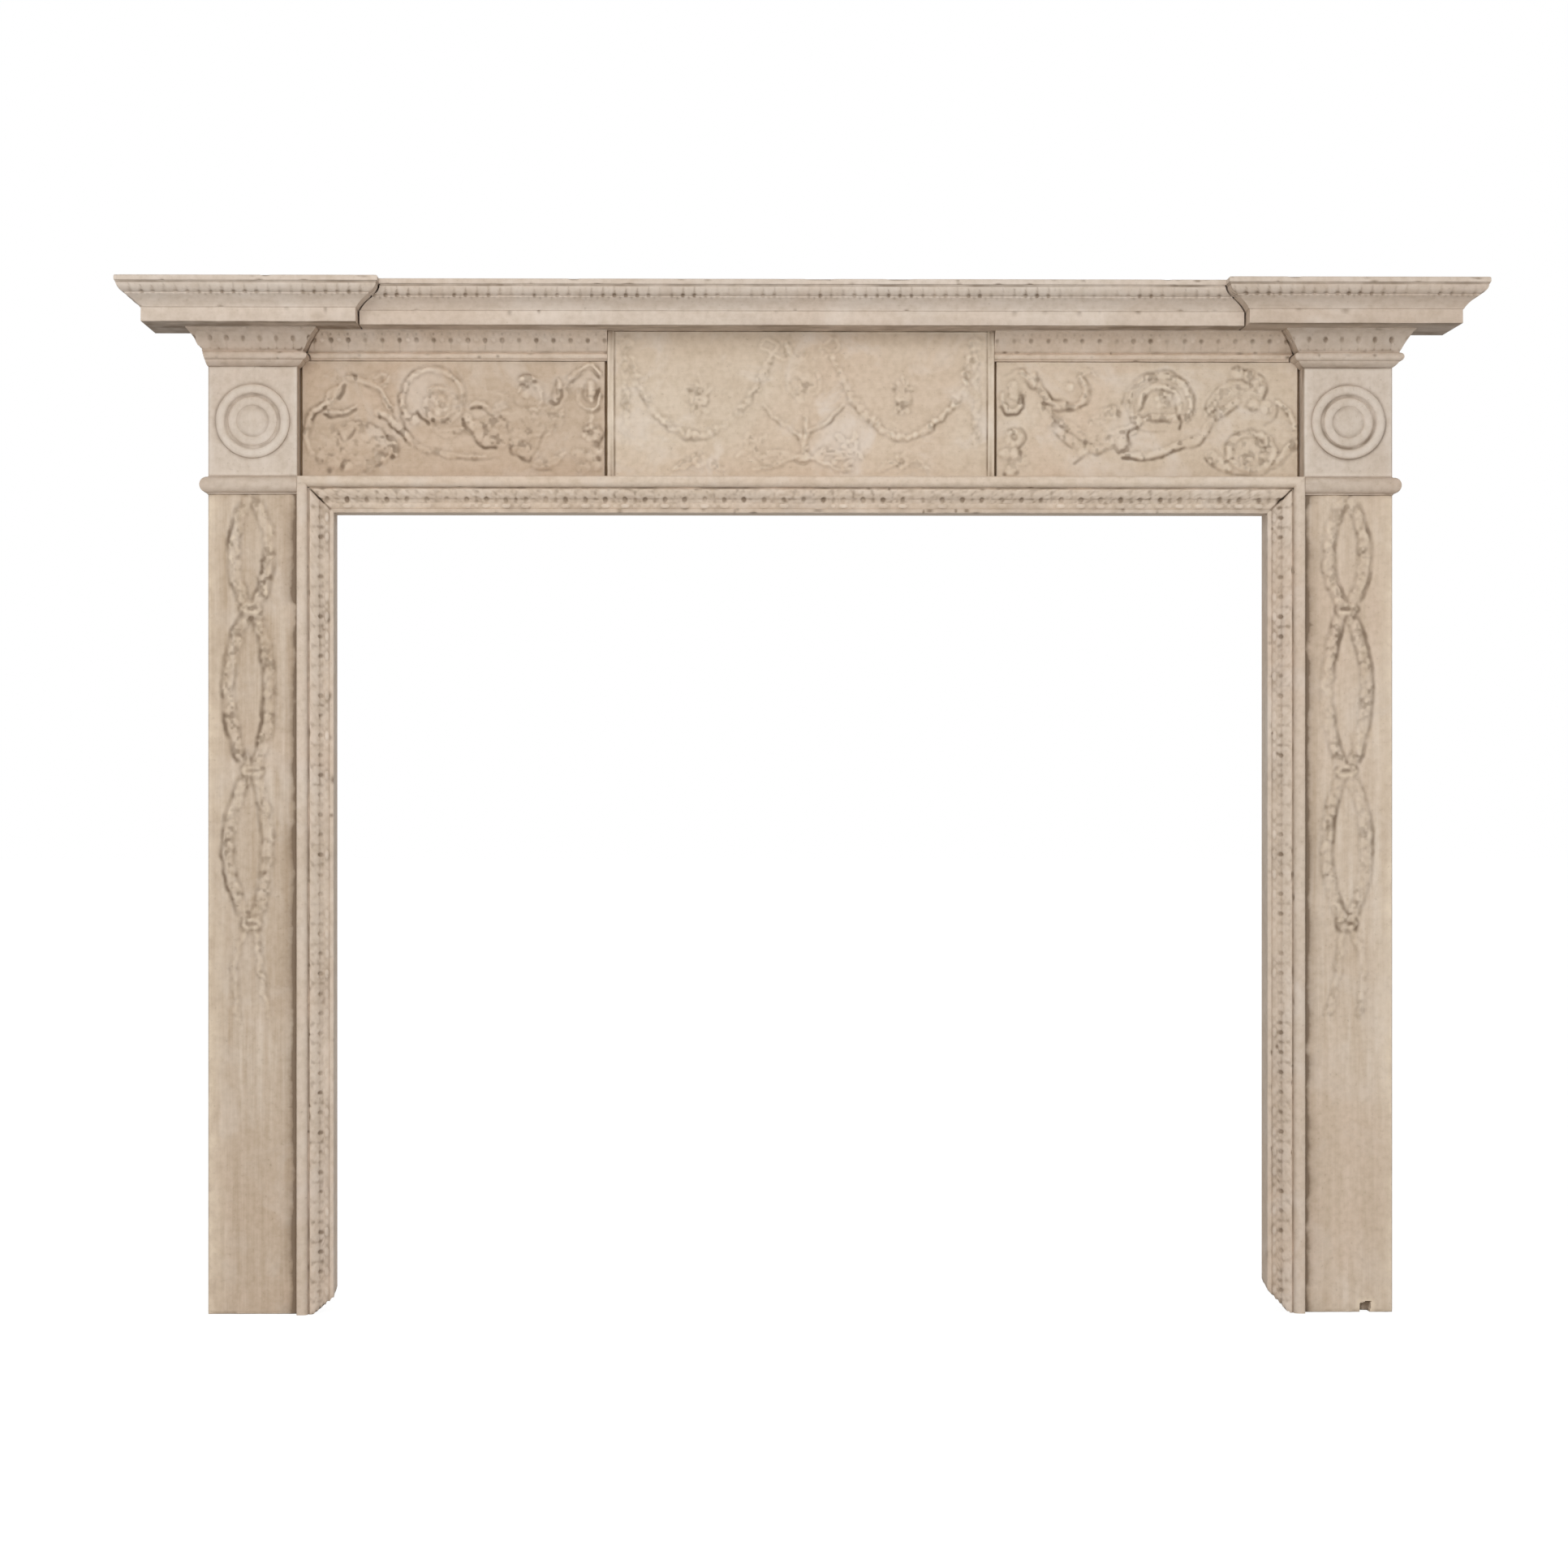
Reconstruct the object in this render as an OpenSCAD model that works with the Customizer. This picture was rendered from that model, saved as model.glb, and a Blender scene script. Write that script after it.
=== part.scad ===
// Neoclassical fireplace mantel of carved pine: two pilasters with husk garlands, a moulded
// surround round the opening, a carved frieze with a raised tablet, and a breakfront cornice.
// Millimetres. +Z is up, the front faces -Y, the wall is the plane at the back, and the
// origin is at floor level, in the middle of the whole mantel's width and depth.

/* [Opening and surround] */
// Clear width of the fireplace opening
opening_w = 1244; // [900:2:1600]
// Clear height of the fireplace opening
opening_h = 1065; // [800:1:1300]
// Width of the surround moulding on its face
surround_w = 48; // [38:1:60]
// How far the surround's outer bead stands proud of the pilaster
surround_proud = 14; // [8:1:24]
// How far the surround's inner fillet lies behind the pilaster's face
fillet_back = 4; // [0:1:10]

/* [Pilasters] */
// Width of each pilaster
pilaster_w = 118; // [90:1:180]
// Depth of each pilaster from the wall
pilaster_d = 56; // [45:1:90]
// Height of the half-round neck moulding
neck_h = 24; // [18:1:32]
// How far the neck moulding projects
neck_proj = 11; // [8:1:16]
// Height of the block above the neck
block_h = 146; // [120:1:190]

/* [Frieze] */
// How far the frieze lies behind the pilaster's face
setback = 33; // [20:1:36]
// Thickness of the backing board behind the frieze
backing_t = 12; // [8:1:14]
// Width of the raised centre tablet
tablet_w = 518; // [360:2:640]
// How far the tablet stands proud of the carved panels
tablet_proud = 10; // [6:1:14]
// Open joint at each end of the carved panels
panel_gap = 3; // [1.5:0.5:8]

/* [Mouldings] */
// Height of the pilaster capitals
capital_h = 50; // [40:1:70]
// Projection of the capitals and of the bed moulding
capital_proj = 27; // [20:1:36]
// Height of the bed moulding over the carved panels
bed_h = 39; // [32:1:45]
// Height of the plain corona face
corona_h = 18.5; // [14:0.5:26]
// Overhang of the corona beyond the capitals at the front
corona_front = 52; // [40:1:70]
// Overhang of the corona beyond the capitals at the outer ends
corona_out = 51; // [40:1:70]
// Overhang of the corona beyond the capitals on the inner side
corona_in = 57; // [40:1:70]
// Height of the crown moulding above the corona
crown_h = 31; // [24:1:44]
// Projection of the crown moulding
crown_proj = 31; // [24:1:44]
// Thickness of the shelf board
shelf_t = 7.5; // [6:0.5:22]
// Open joint where a centre length meets an end length
mitre_gap = 2.5; // [1:0.5:4]

/* [Carving] */
// Height of the carved relief above its ground
relief = 4; // [3:0.5:6]
// Radius of the turned roundels
roundel_r = 49.5; // [36:0.5:52]
// Height of the turned roundels
roundel_h = 6.5; // [5:0.5:10]
// Width of one husk garland, outside its strands
garland_w = 74; // [54:1:80]
// Height of each of the three loops in a garland, from the top down
garland_loops = [148, 215, 203];
// Length of the two loose ends under a garland
garland_tail = 125; // [60:1:180]
// Distance from the neck moulding down to the garland's top
garland_drop = 4; // [2:1:30]
// Height of the broken corner at the left foot of the surround
foot_chip_left = 22; // [0:1:40]
// Height of the broken corner at the right foot of the surround
foot_chip_right = 30; // [0:1:40]
// Width and height of the notch in the right pilaster's foot
foot_notch = 13; // [6:1:20]

/* [Hidden] */

// Widths from the centre line
open_x = opening_w / 2;
inner_x = open_x + surround_w;
outer_x = inner_x + pilaster_w;
tablet_x = tablet_w / 2;
corona_x0 = inner_x - capital_proj - corona_in;
corona_x1 = outer_x + capital_proj + corona_out;

// Levels above the floor
frieze_z = opening_h + surround_w;
neck_z = frieze_z - neck_h;
capital_z = frieze_z + block_h;
cornice_z = capital_z + capital_h;
bed_z = cornice_z - bed_h;
crown_z = cornice_z + corona_h;
shelf_z = crown_z + crown_h;

// Distances out from the wall
panel_d = pilaster_d - setback;
tablet_d = panel_d + tablet_proud;
corona_d = pilaster_d + capital_proj + corona_front;
shelf_d = corona_d + crown_proj;
fillet_d = pilaster_d - fillet_back;

// Sizes of the small steps in the mouldings
corner_step = 1.5;
arc_steps = 6;
far = 4000;
cut_slack = 1;
sink = 1;
join = 0.3;
worn = 0.6;
shallow = 0.25;
leaf_steps = 5;
foot_chip_w = 29;
notch_depth = 20;
husk_pitch = 14.5;
panel_w = inner_x - tablet_x - 2 * panel_gap;
panel_h = bed_z - frieze_z;
tablet_h = cornice_z - frieze_z;

pine = [0.80, 0.73, 0.64];
pine_light = [0.86, 0.80, 0.72];
pine_tan = [0.77, 0.68, 0.56];

// ---- Helpers ----

// Y of a face that stands this far out from the wall
function face_y(d) = shelf_d / 2 - d;
function mix(a, b, t) = a + (b - a) * t;

// Curve from a to b: a full quarter round at bulge 1, which moves along the first axis first,
// or at -1, which moves along the second axis first, and straight at 0
function quarter(a, b, bulge) = [for (i = [0 : arc_steps])
  let (t = i / arc_steps, early = sin(90 * t), late = 1 - cos(90 * t), round = abs(bulge))
  [mix(a[0], b[0], mix(t, bulge > 0 ? early : late, round)),
   mix(a[1], b[1], mix(t, bulge > 0 ? late : early, round))]];

// Half round on the straight side from a to b of a profile, standing out by h
function half_round(a, b, h) = [for (i = [0 : 2 * arc_steps])
  let (t = 90 * i / arc_steps)
  [mix(a[0], b[0], (1 - cos(t)) / 2) + h * sin(t), mix(a[1], b[1], (1 - cos(t)) / 2)]];

module slab(x0, x1, d0, d1, z0, z1) {
  translate([x0, face_y(d1), z0]) cube([x1 - x0, d1 - d0, z1 - z0]);
}

// A profile of [projection, height] points, run along X in front of the plane at depth d
module run_x(profile, d_back, d_face, x0, x1) {
  outline = concat([[d_back, profile[0][1]]], [for (p = profile) [d_face + p[0], p[1]]],
                   [[d_back, profile[len(profile) - 1][1]]]);
  translate([x0, 0, 0]) rotate([90, 0, 90]) linear_extrude(x1 - x0)
    polygon([for (p = outline) [face_y(p[0]), p[1]]]);
}

// The space between two mirrored profiles, run along Y; grow is added on each side
module run_y(profile, x0, x1, grow0, grow1) {
  left = [for (p = profile) [x0 - grow0 * p[0], p[1]]];
  right = [for (i = [len(profile) - 1 : -1 : 0]) [x1 + grow1 * profile[i][0], profile[i][1]]];
  translate([0, far / 2, 0]) rotate([90, 0, 0]) linear_extrude(far) polygon(concat(left, right));
}

// A moulded length with its profile returned round both ends
module returned_length(profile, d_back, d_face, x0, x1) {
  reach = x1 - x0;
  intersection() {
    run_x(profile, d_back, d_face, x0 - reach, x1 + reach);
    run_y(profile, x0, x1, 1, 1);
  }
}

// Right-hand pieces are built as they stand, left-hand ones are their mirror image
module handed(side) {
  if (side > 0) children();
  else mirror([1, 0, 0]) children();
}

// ---- Profiles, as [projection, height] from the bottom up ----

cornice_profile = concat(
  [[0, cornice_z], [0, crown_z - corner_step], [corner_step, crown_z]],
  quarter([corner_step + 0.5, crown_z + 1], [crown_proj * 0.55, crown_z + crown_h * 0.5], -worn),
  quarter([crown_proj * 0.6, crown_z + crown_h * 0.55], [crown_proj - 3, shelf_z - 3], worn),
  [[crown_proj - 1, shelf_z - 2.5], [crown_proj - 1, shelf_z]]);

capital_profile = concat(
  quarter([0, capital_z], [capital_proj * 0.25, capital_z + capital_h * 0.14], worn),
  half_round([capital_proj * 0.3, capital_z + capital_h * 0.15],
             [capital_proj * 0.3, capital_z + capital_h * 0.4], capital_proj * 0.22),
  quarter([capital_proj * 0.32, capital_z + capital_h * 0.44],
          [capital_proj - corner_step, cornice_z - 3], -shallow),
  [[capital_proj, cornice_z - 2], [capital_proj, cornice_z]]);

bed_profile = concat(
  [[0, bed_z]],
  half_round([3, bed_z + 2], [3, bed_z + bed_h * 0.26], 5),
  quarter([capital_proj * 0.22, bed_z + bed_h * 0.32],
          [capital_proj - corner_step, cornice_z - 3], -shallow),
  [[capital_proj, cornice_z - 2], [capital_proj, cornice_z]]);

neck_profile = concat(
  [[0, neck_z], [1.5, neck_z], [1.5, neck_z + 2]],
  half_round([1.5, neck_z + 2], [1.5, frieze_z - 1], neck_proj - 1.5),
  [[0, frieze_z - 1], [0, frieze_z]]);

// Surround section as [distance from the opening, distance from the wall]
bead_w = surround_w * 0.33;
quirk_w = 3;
fillet_w = 5.5;
pearl_w = 7;
surround_profile = concat(
  [[0, 0], [0, fillet_d], [fillet_w, fillet_d], [fillet_w, fillet_d - 2],
   [fillet_w + pearl_w, fillet_d - 2]],
  quarter([fillet_w + pearl_w + 2, fillet_d],
          [surround_w - bead_w - quirk_w, pilaster_d + surround_proud * 0.55], -1),
  [[surround_w - bead_w - quirk_w, pilaster_d], [surround_w - bead_w, pilaster_d]],
  [for (p = half_round([pilaster_d + surround_proud * 0.35, surround_w - bead_w],
                       [pilaster_d + surround_proud * 0.35, surround_w],
                       surround_proud * 0.65)) [p[1], p[0]]],
  [[surround_w, 0]]);

// ---- Flat outlines used by the carving ----

// Pointed leaf along +X from the origin
module leaf(length, width) {
  side = [for (i = [0 : leaf_steps]) let (t = i / leaf_steps)
    [length * t, width / 2 * pow(sin(180 * t), 0.8)]];
  polygon(concat(side, [for (i = [leaf_steps - 1 : -1 : 1]) [side[i][0], -side[i][1]]]));
}

// A band that follows a list of points, w0 wide at its start and w1 at its end
module band(points, w0, w1) {
  last = len(points) - 1;
  side = [for (i = [0 : last])
    let (a = points[max(i - 1, 0)], b = points[min(i + 1, last)], d = (b - a) / norm(b - a))
    [-d[1], d[0]] * mix(w0, w1, i / last) / 2];
  polygon(concat([for (i = [0 : last]) points[i] + side[i]],
                 [for (i = [last : -1 : 0]) points[i] - side[i]]));
}

// Points on a curve with two handles
function bend(p, steps) = [for (i = [0 : steps]) let (t = i / steps)
  pow(1 - t, 3) * p[0] + 3 * pow(1 - t, 2) * t * p[1] + 3 * (1 - t) * t * t * p[2] + t * t * t * p[3]];

// Points on a spiral about c, from radius r0 at angle a0 to r1 at a1
function spiral(c, r0, r1, a0, a1, steps) = [for (i = [0 : steps]) let (t = i / steps)
  c + mix(r0, r1, t) * [cos(mix(a0, a1, t)), sin(mix(a0, a1, t))]];

// Leaves fanned about a point, from angle a0 to a1
module fan(count, a0, a1, length, width, start = 0) {
  for (i = [0 : count - 1]) rotate(mix(a0, a1, i / (count - 1))) translate([start, 0]) leaf(length, width);
}

// A flower of round petals
module rosette(r, petals) {
  circle(r * 0.55);
  for (i = [0 : petals - 1]) rotate(360 * i / petals) translate([r * 0.62, 0]) circle(r * 0.38);
}

// Carving of a panel drawn 400 long and 157 high, and scaled to the panel's true size:
// u runs from the block to the tablet, v up from the surround
module scroll_outline() {
  offset(delta = join) scale([panel_w / 400, panel_h / 157]) {
    // Great volute and its flower
    band(spiral([174, 100], 50, 15, 226, -250, 44), 9, 6);
    translate([180, 99]) rosette(12, 5);
    // Main stem along the foot of the panel and up the tablet side
    band(bend([[120, 84], [150, 40], [160, 30], [225, 29]], 12), 13, 9);
    band(bend([[225, 29], [290, 30], [290, 8], [325, 16]], 10), 9, 12);
    band(bend([[325, 16], [375, 42], [385, 95], [345, 128]], 12), 18, 9);
    // Hooked leaf over the end flower
    band(bend([[120, 84], [104, 122], [78, 131], [58, 134]], 10), 10, 12);
    band(bend([[58, 134], [44, 132], [44, 122], [50, 108]], 6), 10, 5);
    for (i = [0 : 2]) translate([72 + 14 * i, 132 - 8 * i]) rotate(70) leaf(13, 8);
    // End flower: a leaf rolled over on itself, with a lobed lower edge
    difference() {
      translate([62, 53]) scale([1, 0.72]) circle(58);
      translate([66, 56]) scale([1, 0.72]) circle(44);
    }
    translate([66, 52]) scale([1, 0.85]) circle(25);
    for (i = [0 : 6]) translate([62 + 50 * cos(200 + 23 * i), 53 + 37 * sin(200 + 23 * i)]) circle(8.5);
    // Great leaf
    for (i = [0 : 6]) translate([316, 62]) rotate(148 + 12 * i) leaf(100 - 9 * abs(i - 2), 26);
    band(bend([[330, 60], [300, 75], [270, 95], [226, 92]], 10), 12, 8);
    // Small volute
    band(spiral([301, 116], 20, 7, -60, 330, 22), 7, 6);
    translate([340, 104]) rotate(80) leaf(34, 14);
    // Half candelabrum against the tablet
    translate([384, 122]) scale([0.5, 1]) circle(11);
    band(bend([[360, 131], [372, 142], [378, 150], [383, 152]], 6), 6, 5);
    band(bend([[383, 152], [388, 148], [393, 144], [397, 140]], 5), 5, 6);
    translate([384, 92]) fan(2, 30, 150, 18, 9);
    translate([384, 63]) rosette(13, 6);
    translate([386, 45]) fan(3, -130, -50, 24, 12);
    translate([386, 26]) fan(3, -150, -30, 20, 11);
  }
}

// One husk swag hung between two points; dip is how far its middle hangs down
module swag(a, b, dip) {
  steps = 16;
  points = [for (i = [0 : steps]) let (t = i / steps)
    [mix(a[0], b[0], t), mix(a[1], b[1], t) - dip * sin(180 * t)]];
  band(points, 6, 6);
  for (i = [0 : steps - 1])
    translate(points[i]) rotate(atan2(points[i + 1][1] - points[i][1], points[i + 1][0] - points[i][0]))
      leaf(16, 10);
}

// A straight drop of husks from p, count of them
module husk_drop(p, count, pitch) {
  for (i = [0 : count - 1]) translate(p - [0, i * pitch]) rotate(-90) leaf(pitch + 2, 10);
}

// Carving of the tablet: u from its middle, v up from the surround
module tablet_outline() {
  offset(delta = join) scale([1, tablet_h / 196]) {
    for (s = [-1, 1]) {
      husk_drop([s * (tablet_x - 26), 172], 9, 14);
      translate([s * (tablet_x - 26), 178]) circle(8);
      swag([s * (tablet_x - 36), 162], [s * (tablet_x - 208), 158], 104);
      translate([s * (tablet_x - 122), 108]) rosette(12, 5);
      band(bend([[0, 28], [s * 26, 22], [s * 44, 8], [s * 68, 12]], 8), 5, 4);
      translate([s * 62, 44]) rosette(10, 5);
      translate([s * 134, 26]) rosette(11, 5);
      translate([s * 18, 172]) rotate(90 - s * 60) leaf(26, 12);
    }
    translate([0, 172]) circle(9);
    difference() {
      translate([0, 122]) scale([0.8, 1]) circle(38);
      translate([0, 122]) scale([0.8, 1]) circle(32);
    }
    translate([0, 122]) rosette(20, 6);
    band(bend([[0, 84], [10, 68], [-8, 48], [0, 28]], 8), 6, 6);
    translate([0, 28]) circle(8);
  }
}

// Garland of a pilaster: x from its middle, z down from its top
module garland_outline() {
  strand_w = garland_w * 0.21;
  spread = garland_w / 2 - strand_w / 2;
  tops = [for (i = [0 : 2]) i == 0 ? 0 : i == 1 ? garland_loops[0] : garland_loops[0] + garland_loops[1]];
  offset(delta = join) {
    for (i = [0 : 2], s = [-1, 1]) {
      h = garland_loops[i];
      count = round(h / husk_pitch);
      points = [for (k = [0 : count])
        [s * (3 + (spread - 3) * pow(sin(180 * k / count), 0.75)), -tops[i] - h * k / count]];
      band(points, 7, 7);
      for (k = [0 : count - 1]) {
        step = points[k + 1] - points[k];
        translate(points[k]) rotate(atan2(step[1], step[0])) leaf(norm(step) * 1.25, strand_w);
      }
    }
    for (i = [1 : 2]) translate([0, -tops[i]]) scale([1.4, 1]) circle(9);
    translate([0, -tops[2] - garland_loops[2]]) scale([1.3, 1]) circle(8.5);
    for (s = [-1, 1]) {
      start = tops[2] + garland_loops[2];
      tail = bend([[s * 3, -start], [s * 14, -start - garland_tail * 0.3],
                   [s * 4, -start - garland_tail * 0.5], [s * 16, -start - garland_tail]], 8);
      band(tail, 7, 5);
      for (k = [0 : 7]) {
        step = tail[k + 1] - tail[k];
        translate(tail[k]) rotate(atan2(step[1], step[0])) leaf(norm(step) * 1.2, 11);
      }
    }
  }
}

// Stands a flat outline up on a face at depth d, with its own origin at x, z
module on_face(x, d, z, height) {
  translate([x, face_y(d - sink), z]) rotate([90, 0, 0]) linear_extrude(height + sink) children();
}

// ---- Pieces ----

module shelf_board() {
  edge = corona_x1 + crown_proj;
  step = corona_x0 - crown_proj;
  color(pine_light) {
    slab(-edge, edge, 0, shelf_d - setback, shelf_z, shelf_z + shelf_t);
    for (s = [-1, 1]) handed(s)
      slab(step, edge, shelf_d - setback, shelf_d, shelf_z, shelf_z + shelf_t);
  }
}

module cornice_centre() {
  color(pine_light) intersection() {
    run_x(cornice_profile, 0, corona_d - setback, -corona_x0, corona_x0);
    run_y(cornice_profile, -corona_x0 + mitre_gap, corona_x0 - mitre_gap, -1, -1);
  }
}

module cornice_end(side) {
  color(pine_light) handed(side)
    returned_length(cornice_profile, 0, corona_d, corona_x0, corona_x1);
}

// The capital's inner return stands on the panel's face, so it is cut back over the panel
module capital(side) {
  color(pine) handed(side) difference() {
    returned_length(capital_profile, backing_t, pilaster_d, inner_x, outer_x);
    slab(inner_x - capital_proj, inner_x, 0, panel_d, 0, bed_z);
  }
}

// The bed moulding is cut to the capital's profile where the two meet, with an open joint
module bed_moulding(side) {
  color(pine_tan) handed(side) difference() {
    run_x(bed_profile, backing_t, panel_d, tablet_x, inner_x);
    run_y(capital_profile, inner_x - mitre_gap, outer_x + capital_proj, 1, 0);
  }
}

module frieze_backing_board() {
  color(pine_tan) slab(-outer_x, outer_x, 0, backing_t, frieze_z, cornice_z);
}

module frieze_panel(side) {
  color(pine_tan) handed(side) {
    slab(tablet_x + panel_gap, inner_x - panel_gap, backing_t, panel_d, frieze_z, bed_z);
    intersection() {
      on_face(0, panel_d, frieze_z, relief)
        translate([inner_x - panel_gap, 0]) mirror([1, 0]) scroll_outline();
      slab(tablet_x + panel_gap, inner_x - panel_gap, backing_t, far / 8, frieze_z, bed_z);
    }
  }
}

module centre_tablet() {
  edge_w = 7;
  color(pine_tan) {
    slab(-tablet_x, tablet_x, backing_t, tablet_d, frieze_z, cornice_z);
    for (s = [-1, 1]) handed(s)
      slab(tablet_x - edge_w, tablet_x, tablet_d - sink, tablet_d + relief / 2, frieze_z, cornice_z);
    on_face(0, tablet_d, frieze_z, relief * 0.75) tablet_outline();
  }
}

module block(side) {
  color(pine) handed(side) slab(inner_x, outer_x, backing_t, pilaster_d, frieze_z, capital_z);
}

module roundel(side) {
  r = roundel_r;
  h = roundel_h;
  dish = h * 0.5;
  outline = concat(
    [[0, 0], [0, h * 0.75], [r * 0.12, h * 0.72], [r * 0.2, dish], [r * 0.42, dish], [r * 0.45, dish + 0.8],
     [r * 0.58, dish + 0.8]],
    [for (i = [0 : arc_steps]) let (t = 180 * i / arc_steps)
      [r * 0.64 - r * 0.05 * cos(t), dish + 0.8 + h * 0.3 * sin(t)]],
    [[r * 0.7, h * 0.25], [r * 0.76, h * 0.25]],
    [for (i = [0 : arc_steps]) let (t = 180 * i / arc_steps)
      [r * 0.87 - r * 0.11 * cos(t), h * 0.55 + h * 0.45 * sin(t)]],
    [[r, h * 0.2], [r, 0]]);
  color(pine) handed(side)
    translate([(inner_x + outer_x) / 2, face_y(pilaster_d), frieze_z + block_h / 2])
      rotate([90, 0, 0]) rotate_extrude($fn = 96) polygon(outline);
}

module neck_moulding(side) {
  color(pine) handed(side) intersection() {
    run_x(neck_profile, 0, pilaster_d, inner_x, outer_x + 2 * neck_proj);
    run_y(neck_profile, inner_x, outer_x, 0, 1);
  }
}

module pilaster(side) {
  color(pine) handed(side) difference() {
    union() {
      slab(inner_x, outer_x, 0, pilaster_d, 0, neck_z);
      on_face((inner_x + outer_x) / 2, pilaster_d, neck_z - garland_drop, relief) garland_outline();
    }
    if (side > 0)
      translate([inner_x + pilaster_w * 0.64, face_y(pilaster_d + cut_slack), -cut_slack])
        cube([foot_notch, notch_depth + cut_slack, foot_notch + cut_slack]);
  }
}

// The surround section run along +Z, with its face towards -Y and the opening at x = 0
module surround_run(length) {
  linear_extrude(length) polygon([for (p = surround_profile) [p[0], face_y(p[1])]]);
}

module surround_side(side) {
  chip = side > 0 ? foot_chip_right : foot_chip_left;
  color(pine) handed(side) intersection() {
    translate([open_x, 0, 0]) surround_run(frieze_z);
    translate([open_x, far / 2, 0]) rotate([90, 0, 0]) linear_extrude(far)
      polygon([[0, chip], [foot_chip_w, 0], [surround_w, 0], [surround_w, frieze_z], [0, opening_h]]);
  }
}

module surround_top() {
  color(pine) intersection() {
    translate([-inner_x, 0, opening_h]) rotate([90, 0, 90]) linear_extrude(2 * inner_x)
      polygon([for (p = surround_profile) [face_y(p[1]), p[0]]]);
    translate([0, far / 2, 0]) rotate([90, 0, 0]) linear_extrude(far)
      polygon([[-open_x, opening_h], [open_x, opening_h], [inner_x, frieze_z], [-inner_x, frieze_z]]);
  }
}

shelf_board();
cornice_centre();
cornice_end(-1);  // cornice_left
cornice_end(1);  // cornice_right
capital(-1);  // capital_left
capital(1);  // capital_right
bed_moulding(-1);  // bed_moulding_left
bed_moulding(1);  // bed_moulding_right
frieze_backing_board();
frieze_panel(-1);  // frieze_panel_left
frieze_panel(1);  // frieze_panel_right
centre_tablet();
block(-1);  // block_left
block(1);  // block_right
roundel(-1);  // roundel_left
roundel(1);  // roundel_right
neck_moulding(-1);  // neck_moulding_left
neck_moulding(1);  // neck_moulding_right
pilaster(-1);  // pilaster_left
pilaster(1);  // pilaster_right
surround_side(-1);  // surround_left
surround_side(1);  // surround_right
surround_top();
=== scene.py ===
"""Looks of a carved and limed pine fireplace mantel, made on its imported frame.

Lengths are in millimetres. A place is given as x from the centre line, forward from the wall,
and up from the floor; the mesh draft turns these into metres in the frame's own axes.
"""

import logging
import math
from abc import ABC, abstractmethod
from dataclasses import dataclass, field, replace
from enum import Enum
from typing import Callable, Sequence

import bmesh
import bpy
import numpy as np
from bpy.types import Material, Node, NodeSocket, NodeTree, Object
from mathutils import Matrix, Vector


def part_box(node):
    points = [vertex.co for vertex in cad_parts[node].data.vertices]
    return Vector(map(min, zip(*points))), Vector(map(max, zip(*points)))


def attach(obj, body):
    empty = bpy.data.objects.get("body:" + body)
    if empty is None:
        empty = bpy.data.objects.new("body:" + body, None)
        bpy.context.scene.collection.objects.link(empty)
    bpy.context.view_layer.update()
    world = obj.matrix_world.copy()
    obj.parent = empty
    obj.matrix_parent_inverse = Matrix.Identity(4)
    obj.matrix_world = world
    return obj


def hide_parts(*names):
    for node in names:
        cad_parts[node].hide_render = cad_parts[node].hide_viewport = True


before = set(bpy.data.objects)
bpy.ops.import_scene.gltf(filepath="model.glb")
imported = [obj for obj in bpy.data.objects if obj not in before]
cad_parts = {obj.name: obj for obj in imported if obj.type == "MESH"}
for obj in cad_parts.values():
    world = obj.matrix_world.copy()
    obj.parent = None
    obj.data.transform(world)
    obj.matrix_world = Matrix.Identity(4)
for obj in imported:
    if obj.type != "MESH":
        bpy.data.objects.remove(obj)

LOG = logging.getLogger("mantel")
MM = 0.001
BODY = "root"
Array = np.ndarray
Point = tuple[float, float]
Colour = tuple[float, float, float, float]
Carve = Callable[[Array, Array, Array], Array]
Shift = Callable[[Array, Array], tuple[Array, Array]]
CROWN_PROJECTION = 30.0
CROWN_HEIGHT = 31.0
SHELF_LIP = 1.0
PANEL_RELIEF = 4.0
TABLET_RELIEF = 3.0
FULL_HOLLOW = 1.5
CORNICE_LEAF = 15.0
CAPITAL_LEAF = 22.0
BED_LEAF = 22.8
SURROUND_LEAF = 26.4
BUMP_DISTANCE = 0.0006


class Side(Enum):
    """Which half of the mantel a piece stands in."""

    LEFT = -1
    RIGHT = 1

    @property
    def word(self) -> str:
        """The side's name as the nodes spell it."""
        return self.name.lower()


class Grain(Enum):
    """The way the wood's grain runs, as how fast its pattern changes along X, Y and Z."""

    ACROSS = (0.05, 1.0, 1.0)
    UPRIGHT = (1.0, 1.0, 0.05)


class Socket(Enum):
    """What a node group's socket carries."""

    NUMBER = "NodeSocketFloat"
    VECTOR = "NodeSocketVector"
    COLOUR = "NodeSocketColor"


# Measures taken from the frame


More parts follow.
